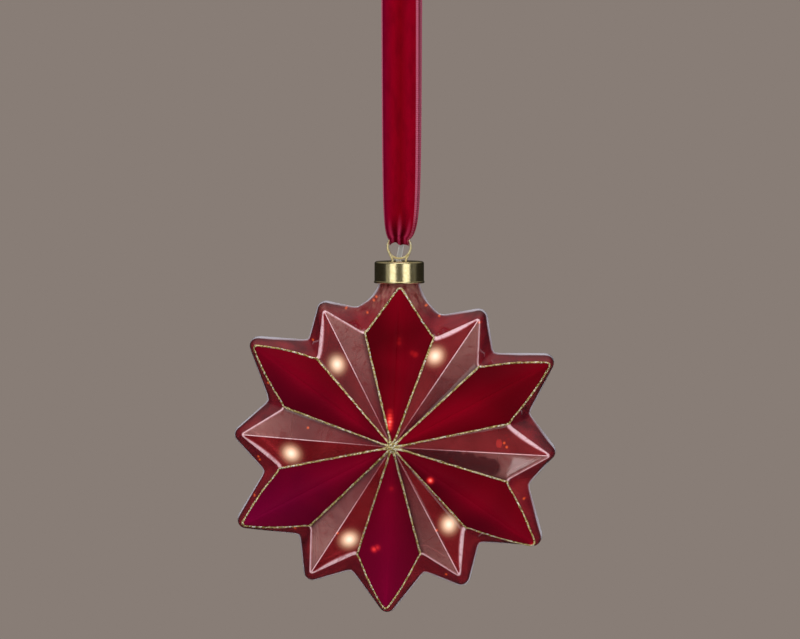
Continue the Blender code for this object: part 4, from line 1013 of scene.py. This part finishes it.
# Cap: brass sheet drawn into a shallow cup, its lower edge rolled over a bead, then plated pale gold. The
# wire's two legs and the isolator strip pass through its top.
CAP_SHEET = 0.0004
CAP_RADIUS = 0.0099
CAP_EDGE_ROUND = 0.0009
CAP_BEAD = 0.00025
CAP_BEAD_HEIGHT = 0.0009
CAP_SIDES = 160
CAP_ROUND_STEPS = 8
CAP_BEAD_STEPS = 10
CAP_BEAD_START = 62  # degrees up the bead where the cap's side meets it
CAP_BEAD_GAP = 0.0003
INNER_ROUND_STEPS = 6
HOLE_SIDES = 32
TAB_WIDTH = 0.0020
TAB_THICKNESS = 0.00025
TAB_SLOT_CLEARANCE = 0.00035
LEG_HOLE_RADIUS = 0.0008
TAB_LEAN = math.radians(11)
TAB_FOOT_X = -0.0006
CAP_SHARP_ANGLE = math.radians(40)
WIRE_DIAMETER = 0.0009
RING_RADIUS = 0.0046
LEG_ANGLE = math.radians(25)

gold_finish, gold_tree, gold_shader, gold_spot = start_finish(
    "bright_gold_plate", Metallic=1.0, Roughness=0.08,
)
# Thin plating over drawn brass follows the sheet's drawing marks and soft dents, 2 to 4 mm across.
dents = add(gold_tree, "TexNoise", {"Vector": gold_spot, "Scale": 320.0, "Detail": 1.0})
dent_bump = add(gold_tree, "Bump", {"Strength": 0.05, "Distance": 0.0001, "Height": dents})
tarnish = add(gold_tree, "TexNoise", {"Vector": gold_spot, "Scale": 1400.0, "Detail": 4.0})
gold_colour = add(
    gold_tree, "ValToRGB", {"Fac": tarnish}, [(0.3, "DECD94"), (0.55, "EADCAA"), (0.75, "F0E4BA")],
)
gold_gloss = add(gold_tree, "MapRange", {"Value": tarnish, "To Min": 0.18, "To Max": 0.26})
feed(gold_shader, {"Base Color": gold_colour, "Normal": dent_bump, "Roughness": gold_gloss})


def arc(centre_r, centre_z, radius, start, end, steps):
    """(radius, z) points on an arc, in degrees from the outward direction, anticlockwise."""
    turns = [math.radians(start + (end - start) * step / steps) for step in range(steps + 1)]
    return [(centre_r + radius * math.cos(t), centre_z + radius * math.sin(t)) for t in turns]


def turned(profile, sides):
    """A closed shape: a profile of (radius, z) turned about Z, ended on the axis where its radius is zero."""
    shape = bmesh.new()
    rings = []
    for radius, z in profile:
        count = sides if radius > 0 else 1
        ring = []
        for step in range(count):
            turn = 2 * math.pi * step / sides
            ring.append(shape.verts.new((radius * math.cos(turn), radius * math.sin(turn), z)))
        rings.append(ring)
    for here, there in zip(rings, rings[1:] + rings[:1]):
        for step in range(sides):
            after = (step + 1) % sides
            corners = [here[step % len(here)], here[after % len(here)]]
            corners += [there[after % len(there)], there[step % len(there)]]
            distinct = list(dict.fromkeys(corners))
            if len(distinct) > 2:
                shape.faces.new(distinct)
    bmesh.ops.recalc_face_normals(shape, faces=shape.faces)
    return shape


cap_top, cap_foot = cap_high.z, cap_low.z
bore = CAP_RADIUS - CAP_SHEET
inner_round = CAP_EDGE_ROUND - CAP_SHEET
profile = [(0, cap_top), (bore / 2, cap_top)]
profile += arc(CAP_RADIUS - CAP_EDGE_ROUND, cap_top - CAP_EDGE_ROUND, CAP_EDGE_ROUND, 90, 0, CAP_ROUND_STEPS)
profile += [(CAP_RADIUS, cap_foot + CAP_BEAD_HEIGHT + CAP_BEAD_GAP)]
bead_radius = CAP_BEAD_HEIGHT / 2
bead_middle = (CAP_RADIUS + CAP_BEAD - bead_radius, cap_foot + bead_radius)
profile += arc(*bead_middle, bead_radius, CAP_BEAD_START, -90, CAP_BEAD_STEPS)
profile += [(bore, cap_foot), (bore, cap_foot + CAP_BEAD_HEIGHT)]
profile += arc(bore - inner_round, cap_top - CAP_SHEET - inner_round, inner_round, 0, 90, INNER_ROUND_STEPS)
profile += [(bore / 2, cap_top - CAP_SHEET), (0, cap_top - CAP_SHEET)]

tab_low, tab_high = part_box("isolator_tab")
tab_y = (tab_low.y + tab_high.y) / 2
tab_foot = Vector((TAB_FOOT_X, tab_y, cap_top))
ring_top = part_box("hanger_loop")[1].z - WIRE_DIAMETER / 2
ring_z = ring_top - RING_RADIUS
leave = Vector((math.cos(LEG_ANGLE) * RING_RADIUS, 0, ring_z - math.sin(LEG_ANGLE) * RING_RADIUS))
foot_x = leave.x - (leave.z - cap_top) * math.tan(LEG_ANGLE)
cap_piece = link_piece("cap_shell", turned(profile, CAP_SIDES), gold_finish, "cap", "gold", "gold_cap")
cutters = []
for side in (-1, 1):
    hole_top, hole_foot = cap_top + CAP_SHEET, cap_top - 2 * CAP_SHEET
    outline = [(0, hole_top), (LEG_HOLE_RADIUS, hole_top), (LEG_HOLE_RADIUS, hole_foot), (0, hole_foot)]
    hole = turned(outline, HOLE_SIDES)
    bmesh.ops.translate(hole, verts=hole.verts, vec=(side * foot_x, 0, 0))
    cutters.append(hole)
slot = bmesh.new()
bmesh.ops.create_cube(slot, size=1.0)
slot_size = (TAB_WIDTH + 2 * TAB_SLOT_CLEARANCE, TAB_THICKNESS + 2 * TAB_SLOT_CLEARANCE, 4 * CAP_SHEET)
bmesh.ops.scale(slot, verts=slot.verts, vec=slot_size)
bmesh.ops.rotate(slot, verts=slot.verts, cent=(0, 0, 0), matrix=Matrix.Rotation(TAB_LEAN, 3, "Y"))
bmesh.ops.translate(slot, verts=slot.verts, vec=tab_foot - Vector((0, 0, CAP_SHEET / 2)))
cutters.append(slot)
for cutter_shape in cutters:
    cutter_mesh = bpy.data.meshes.new("punch")
    cutter_shape.to_mesh(cutter_mesh)
    cutter_shape.free()
    punch = bpy.data.objects.new("punch", cutter_mesh)
    bpy.context.scene.collection.objects.link(punch)
    cut = cap_piece.modifiers.new("punched_hole", "BOOLEAN")
    cut.operation = "DIFFERENCE"
    cut.object = punch
    bpy.context.view_layer.update()
    punched = bpy.data.meshes.new_from_object(cap_piece.evaluated_get(bpy.context.evaluated_depsgraph_get()))
    cap_piece.modifiers.clear()
    cap_piece.data = punched
    bpy.data.objects.remove(punch)
cap_piece.data.set_sharp_from_angle(angle=CAP_SHARP_ANGLE)


# Isolator strip: a narrow tongue of clear PET film, cut from sheet, pulled out to bring the cells into
# contact. Its cut edges get a painted highlight: its middle is painted greyer.
TAB_STEPS = 60
TAB_ROUND = 0.0004
TAB_SHARP_ANGLE = math.radians(30)
# How far from its middle the film's painted edge highlight begins and ends, as shares of its width.
CUT_EDGE_SHARES = (0.3, 0.42)

film_finish, film_tree, film_shader, film_spot = start_finish(
    "clear_pet_film", IOR=1.57, Transmission_Weight=0.12,
)
# Handling leaves faint whitish scuffs, 1 to 2 mm long.
scuffs = add(film_tree, "TexNoise", {"Vector": film_spot, "Scale": 700.0, "Detail": 3.0, "Distortion": 1.5})
film_colour = add(film_tree, "ValToRGB", {"Fac": scuffs}, [(0.35, "EEF0EE"), (0.65, "FFFFFF")])
from_foot = add(film_tree, "VectorMath", {0: film_spot, 1: tuple(tab_foot)}, operation="SUBTRACT")
across_film = (math.cos(TAB_LEAN), 0.0, -math.sin(TAB_LEAN))
off_middle = add(film_tree, "VectorMath", {0: from_foot, 1: across_film}, operation="DOT_PRODUCT")
off_middle = add(film_tree, "Math", {0: off_middle}, operation="ABSOLUTE")
shaded_middle = add(
    film_tree, "MapRange",
    {"Value": off_middle, "From Min": CUT_EDGE_SHARES[0] * TAB_WIDTH,
     "From Max": CUT_EDGE_SHARES[1] * TAB_WIDTH, "To Min": 0.45, "To Max": 0.0},
)
film_tone = add(
    film_tree, "Mix", {"Factor": shaded_middle, "A": film_colour, "B": "8E8A86"}, data_type="RGBA",
)
film_gloss = add(film_tree, "MapRange", {"Value": scuffs, "To Min": 0.12, "To Max": 0.34})
feed(film_shader, {"Base Color": film_tone, "Roughness": film_gloss})

lean = Matrix.Rotation(TAB_LEAN, 4, "Y")
strip_top = (tab_high.z - cap_top - TAB_WIDTH / 2 * math.sin(TAB_LEAN)) / math.cos(TAB_LEAN)
strip_low = (tab_low.z - cap_top + TAB_WIDTH / 2 * math.sin(TAB_LEAN)) / math.cos(TAB_LEAN)
strip = bmesh.new()
rings = []
for step in range(TAB_STEPS + 1):
    level = strip_low + (strip_top - strip_low) * step / TAB_STEPS
    end_gap = min(level - strip_low, strip_top - level)
    half_width = TAB_WIDTH / 2
    if end_gap < TAB_ROUND:
        half_width -= TAB_ROUND - math.sqrt(max(TAB_ROUND**2 - (TAB_ROUND - end_gap) ** 2, 0))
    half = TAB_THICKNESS / 2
    section = [(-half_width, -half), (half_width, -half), (half_width, half), (-half_width, half)]
    rings.append([strip.verts.new(lean @ Vector((x, y, level)) + tab_foot) for x, y in section])
join_rows(strip, rings)
strip.faces.new(rings[0])
strip.faces.new(rings[-1])
bmesh.ops.recalc_face_normals(strip, faces=strip.faces)
strip_piece = link_piece("isolator_strip", strip, film_finish, "tab", "clear_film", "isolator_tab")
strip_piece.data.set_sharp_from_angle(angle=TAB_SHARP_ANGLE)


# Hanger: steel wire coiled round a mandrel, plated and lacquered pale gold. Its two legs go through the cap's
# top and are bent outward under it.
RING_PITCH = 0.00105
CLINCH_LENGTH = 0.0020
CLINCH_DROP = 0.00055
LEG_BEND = 0.0005
WIRE_SIDES = 18
COIL_STEPS = 120
LEG_BEND_STEPS = 8

wire_finish, wire_tree, wire_shader, wire_spot = start_finish(
    "gold_lacquered_wire", Metallic=0.7, Roughness=0.38,
)
# Drawn wire keeps fine lengthwise lines, and the plating thins to a browner gold in places.
draw_marks = add(wire_tree, "TexNoise", {"Vector": wire_spot, "Scale": 900.0, "Detail": 4.0})
wire_colour = add(
    wire_tree, "ValToRGB", {"Fac": draw_marks}, [(0.3, "E0C684"), (0.5, "F6E6AE"), (0.7, "FDF4D0")],
)
wire_bump = add(wire_tree, "Bump", {"Strength": 0.2, "Distance": 0.00004, "Height": draw_marks})
feed(wire_shader, {"Base Color": wire_colour, "Normal": wire_bump})

clinch_z = cap_top - CAP_SHEET - CLINCH_DROP - WIRE_DIAMETER / 2
sweep = 3 * math.pi + 2 * LEG_ANGLE
coil_half_width = RING_PITCH * sweep / (4 * math.pi)


def rounded_corners(points, reach, steps):
    """The same path with each inner corner replaced by a short curve."""
    path = [points[0]]
    for before, corner, after in zip(points, points[1:], points[2:]):
        start = corner + (before - corner).normalized() * min(reach, (before - corner).length / 2)
        end = corner + (after - corner).normalized() * min(reach, (after - corner).length / 2)
        for step in range(steps + 1):
            t = step / steps
            path.append(start * (1 - t) ** 2 + corner * 2 * t * (1 - t) + end * t**2)
    return [*path, points[-1]]


right_leg = [
    Vector((leave.x, coil_half_width, leave.z)),
    Vector((foot_x + LEG_BEND * math.tan(LEG_ANGLE), 0, cap_top + LEG_BEND)),
    Vector((foot_x, 0, clinch_z)),
    Vector((foot_x + CLINCH_LENGTH, 0, clinch_z)),
]
left_leg = [Vector((-p.x, -p.y, p.z)) for p in right_leg]
coil = []
for step in range(1, COIL_STEPS):
    turn = math.pi + LEG_ANGLE - sweep * step / COIL_STEPS
    y = coil_half_width * (2 * step / COIL_STEPS - 1)
    coil.append(Vector((RING_RADIUS * math.cos(turn), y, ring_z + RING_RADIUS * math.sin(turn))))
wire_path = rounded_corners(left_leg[::-1], LEG_BEND, LEG_BEND_STEPS) + coil
wire_path += rounded_corners(right_leg, LEG_BEND, LEG_BEND_STEPS)
hanger = bmesh.new()
add_tube(hanger, wire_path, [WIRE_DIAMETER / 2] * len(wire_path), WIRE_SIDES)
bmesh.ops.recalc_face_normals(hanger, faces=hanger.faces)
link_piece("hanger_wire", hanger, wire_finish, "hanger", "gold", "hanger_loop")


# Ribbon: woven cotton-backed velvet, 15 mm wide, with a tight pink selvedge on both edges. It hangs in a
# loop, gathered in pleats where it passes through the wire, and its ends are lapped and sewn at the back.
RIBBON_WIDTH = 0.0150
RIBBON_THICKNESS = 0.0008
CROWN_RADIUS = 0.0050
LAP_START = 0.0080
LAP_LENGTH = 0.0100
LAP_GAP = 0.0003
FRONT_BAND_SHIFT = 0.0006
REAR_BAND_SHIFT = 0.0016
SHIFT_HEIGHT = 0.0040
GATHER_HEIGHT = 0.0032
GATHER_SHARE = 0.50
PLEAT_DEPTH = 0.0019
PLEAT_COUNT = 3
PLEAT_FADE_HEIGHT = 0.0055
SADDLE_HEIGHT = 0.0050
RING_SWING = math.radians(22)
RING_SPREAD_SHARE = 0.7
RIBBON_ON_WIRE_GAP = 0.00027
RIBBON_COLUMNS = 84
LAP_STEPS = 12
BAND_STEPS = 90
BAND_CROWDING = 1.8  # the bands' rows crowd together towards the fold
CROWN_STEPS = 40
FOLD_STEPS = 32
EDGE_THINNESS = 0.35  # the cloth's edges are this share of its thickness
CREASE_DEPTH = 0.00028  # soft lengthwise folds that run up from the pleats
CREASE_COUNT = 1.9
CREASE_SHIFT = 0.15
SELVEDGE = 0.0005  # its left edge rolls back, so that less of it shows there
RIGHT_SELVEDGE = 0.0011
SELVEDGE_BLEND = 0.3  # the share of each selvedge that the pile thins out over
RIGHT_SELVEDGE_BLEND = 0.15
LOBE_DEPTH = 0.0022  # the gathered velvet bulges down at the middle of the fold
LOBE_WIDTH = 0.6
LOBE_SHIFT = 0.15
LOWER_PLEATS = 0.14

velvet_finish, velvet_tree, velvet_shader, _ = start_finish(
    "woven_cotton_velvet", Roughness=0.9, Specular_IOR_Level=0.02, Sheen_Weight=0.10, Sheen_Roughness=0.35,
    Sheen_Tint="FF5078",
)
cloth = add(velvet_tree, "UVMap", uv_map="cloth")
cloth_axes = add(velvet_tree, "SeparateXYZ", {0: cloth})
half_width = RIBBON_WIDTH / 2
# Painted light and shade across the ribbon: a dark left edge where it curls back, and paler and darker
# lengthwise stripes. The pile also lies darker in soft patches 3 to 9 mm long.
across_ribbon = add(
    velvet_tree, "MapRange",
    {"Value": cloth_axes.outputs["X"], "From Min": -half_width, "From Max": half_width},
)
light_and_shade_across = add(
    velvet_tree, "ValToRGB", {"Fac": across_ribbon},
    [(0.03, "5C0020"), (0.14, "7A001E"), (0.30, "840018"), (0.52, "72000E"), (0.72, "86001A"),
     (0.92, "7E0016")],
)
patch_map = add(velvet_tree, "Mapping", {"Vector": cloth, "Scale": (300.0, 100.0, 1.0)})
patch = add(velvet_tree, "TexNoise", {"Vector": patch_map, "Scale": 1.0, "Detail": 2.0})
dark = add(velvet_tree, "MapRange", {"Value": patch, "From Min": 0.55, "From Max": 0.3, "To Max": 0.35})
pile = add(velvet_tree, "Mix", {"Factor": dark, "A": light_and_shade_across, "B": "50000A"}, data_type="RGBA")
# Painted highlight and shade on the pleats: each crest is painted paler, and the valleys darker.
gathers = add(velvet_tree, "Attribute", attribute_name="gathers").outputs["Vector"]
gathers = add(velvet_tree, "SeparateXYZ", {0: gathers})
crest = add(velvet_tree, "MapRange", {"Value": gathers.outputs["X"], "From Min": 0.25, "To Max": 0.75})
pile = add(velvet_tree, "Mix", {"Factor": crest, "A": pile, "B": "A83054"}, data_type="RGBA")
hollow = add(
    velvet_tree, "MapRange", {"Value": gathers.outputs["Y"], "From Min": 0.1, "From Max": 0.8, "To Max": 0.8},
)
pile = add(velvet_tree, "Mix", {"Factor": hollow, "A": pile, "B": "380008"}, data_type="RGBA")
# The selvedge is plain weave without pile: paler pink, with a thread every 0.4 mm. Where the ribbon is
# gathered, it is rolled in and shows less.
left_edge = add(
    velvet_tree, "MapRange",
    {"Value": cloth_axes.outputs["X"], "From Min": SELVEDGE - half_width,
     "From Max": (1 - SELVEDGE_BLEND) * SELVEDGE - half_width},
)
right_edge = add(
    velvet_tree, "MapRange",
    {"Value": cloth_axes.outputs["X"], "From Min": half_width - RIGHT_SELVEDGE,
     "From Max": half_width - (1 - RIGHT_SELVEDGE_BLEND) * RIGHT_SELVEDGE},
)
on_edge = add(velvet_tree, "Math", {0: left_edge, 1: right_edge}, operation="MAXIMUM")
rolled_in = add(
    velvet_tree, "MapRange", {"Value": gathers.outputs["Z"], "From Max": 0.5, "To Min": 1.0, "To Max": 0.35},
)
on_edge = add(velvet_tree, "Math", {0: on_edge, 1: rolled_in}, operation="MULTIPLY")
threads = add(
    velvet_tree, "TexWave", {"Vector": cloth, "Scale": 2500 / (2 * math.pi)}, bands_direction="Y",
).outputs["Fac"]
thread_colour = add(velvet_tree, "ValToRGB", {"Fac": threads}, [(0.2, "9A4058"), (0.8, "B45E76")])
pile = add(velvet_tree, "Mix", {"Factor": on_edge, "A": pile, "B": thread_colour}, data_type="RGBA")
# Single tufts, 0.2 mm apart, are drawn at twice that size.
tufts = add(velvet_tree, "TexNoise", {"Vector": cloth, "Scale": 2400.0, "Detail": 2.0})
tuft_bump = add(velvet_tree, "Bump", {"Strength": 0.35, "Distance": 0.00015, "Height": tufts})
feed(velvet_shader, {"Base Color": pile, "Normal": tuft_bump})


def ribbon_stations():
    """(y and z, outward direction, sideways shift) along the loop, from the lap's outer end to its inner."""
    half = RIBBON_THICKNESS / 2
    crown = CROWN_RADIUS + half
    fold = RING_PITCH * RING_SPREAD_SHARE + WIRE_DIAMETER / 2 + RIBBON_ON_WIRE_GAP + half
    lap_step = RIBBON_THICKNESS + LAP_GAP
    inner_end = Vector((crown - lap_step, -LAP_START))
    rear_foot = Vector((fold, ring_top))
    rear_lean = (inner_end - rear_foot).normalized()
    outer_start = inner_end - rear_lean * LAP_LENGTH + Vector((lap_step, 0))
    rear_out = Vector((rear_lean.y, -rear_lean.x))
    front_foot, front_head = Vector((-fold, ring_top)), Vector((-crown, -CROWN_RADIUS))
    front_lean = (front_head - front_foot).normalized()
    front_out = Vector((-front_lean.y, front_lean.x))
    rear_head = Vector((crown, -CROWN_RADIUS))
    stations = []
    for step in range(LAP_STEPS):
        stations.append((outer_start.lerp(rear_head, step / LAP_STEPS), rear_out, REAR_BAND_SHIFT))
    for step in range(CROWN_STEPS + 1):
        turn = math.pi * step / CROWN_STEPS
        out = Vector((math.cos(turn), math.sin(turn)))
        shift = REAR_BAND_SHIFT + (FRONT_BAND_SHIFT - REAR_BAND_SHIFT) * step / CROWN_STEPS
        stations.append((Vector((0, -CROWN_RADIUS)) + out * crown, out, shift))
    shares = [1 - (1 - step / BAND_STEPS) ** BAND_CROWDING for step in range(1, BAND_STEPS)]
    stations += [(front_head.lerp(front_foot, share), front_out, FRONT_BAND_SHIFT) for share in shares]
    depth = WIRE_DIAMETER / 2 + RIBBON_ON_WIRE_GAP + half
    for step in range(FOLD_STEPS + 1):
        turn = math.pi + math.pi * step / FOLD_STEPS
        out = Vector((math.cos(turn), math.sin(turn)))
        shift = FRONT_BAND_SHIFT + (REAR_BAND_SHIFT - FRONT_BAND_SHIFT) * step / FOLD_STEPS
        stations.append((Vector((out.x * fold, ring_top + out.y * depth)), out, shift))
    stations += [(inner_end.lerp(rear_foot, share), rear_out, REAR_BAND_SHIFT) for share in shares[::-1]]
    stations.append((inner_end, rear_out, REAR_BAND_SHIFT))
    return stations


def ribbon_point(place, out, shift, across):
    """The ribbon's middle surface at a share across it, its outward direction, and its crest and valley,
    which get painted highlight and shade.
    """
    height = max(place.y - ring_top, 0)
    width = RIBBON_WIDTH * (1 - GATHER_SHARE / (1 + height / GATHER_HEIGHT))
    pleat = PLEAT_DEPTH / (1 + (height / PLEAT_FADE_HEIGHT) ** 2)
    sag = 1 / (1 + (height / SADDLE_HEIGHT) ** 2)
    centre_x = shift * height / (height + SHIFT_HEIGHT)
    x = across * width / 2
    wave = (1 - math.cos(math.pi * PLEAT_COUNT * (across + 1))) / 2 * (1 - across**2 / 2)
    fold_x = across * RIBBON_WIDTH * (1 - GATHER_SHARE) / 2
    drop = RING_RADIUS - math.sqrt(RING_RADIUS**2 - fold_x**2)
    crease = CREASE_DEPTH * math.cos(math.pi * CREASE_COUNT * (across - CREASE_SHIFT))
    crease *= (1 - sag) * max(-out.x, 0.0)
    normal = Vector((0, out.x, out.y))
    down = max(-out.y, 0.0)
    lobe = LOBE_DEPTH * math.exp(-(((across - LOBE_SHIFT) / LOBE_WIDTH) ** 2)) * down
    lift = pleat * wave * (1 - (1 - LOWER_PLEATS) * down) + lobe + drop * sag * math.sin(RING_SWING) + crease
    place = Vector((centre_x + x, place.x, place.y - drop * sag)) + normal * lift
    near_fold = pleat / PLEAT_DEPTH
    return place, normal, (wave * near_fold, (1 - wave) * near_fold * (1 - across**4), sag)


stations = ribbon_stations()
lengths = [0.0]
for (a, _, _), (b, _, _) in zip(stations, stations[1:]):
    lengths.append(lengths[-1] + (b - a).length)
velvet = bmesh.new()
cloth_uv = velvet.loops.layers.uv.new("cloth")
rings, where, gather_rows = [], {}, []
for (place, out, shift), length in zip(stations, lengths):
    outer_row, inner_row = [], []
    for column in range(RIBBON_COLUMNS + 1):
        across = 2 * column / RIBBON_COLUMNS - 1
        mid_place, normal, gather = ribbon_point(place, out, shift, across)
        edge = min((1 - abs(across)) * RIBBON_WIDTH / 2 / SELVEDGE, 1.0)
        edge_round = math.sqrt(1 - (1 - edge) ** 2)
        half = RIBBON_THICKNESS / 2 * (EDGE_THINNESS + (1 - EDGE_THINNESS) * edge_round)
        for row, sign in ((outer_row, 1), (inner_row, -1)):
            corner = velvet.verts.new(mid_place + normal * half * sign)
            where[corner] = (across * RIBBON_WIDTH / 2, length)
            gather_rows.extend(gather)
            row.append(corner)
    rings.append(outer_row + inner_row[::-1])
join_rows(velvet, rings)
for ring in (rings[0], rings[-1]):
    for column in range(RIBBON_COLUMNS):
        velvet.faces.new([ring[column], ring[column + 1], ring[-2 - column], ring[-1 - column]])
bmesh.ops.recalc_face_normals(velvet, faces=velvet.faces)
for face in velvet.faces:
    for loop in face.loops:
        loop[cloth_uv].uv = where[loop.vert]
ribbon_piece = link_piece("ribbon_velvet", velvet, velvet_finish, "ribbon", "velvet", "velvet_ribbon")
note(ribbon_piece, "gathers", "FLOAT_VECTOR", gather_rows)
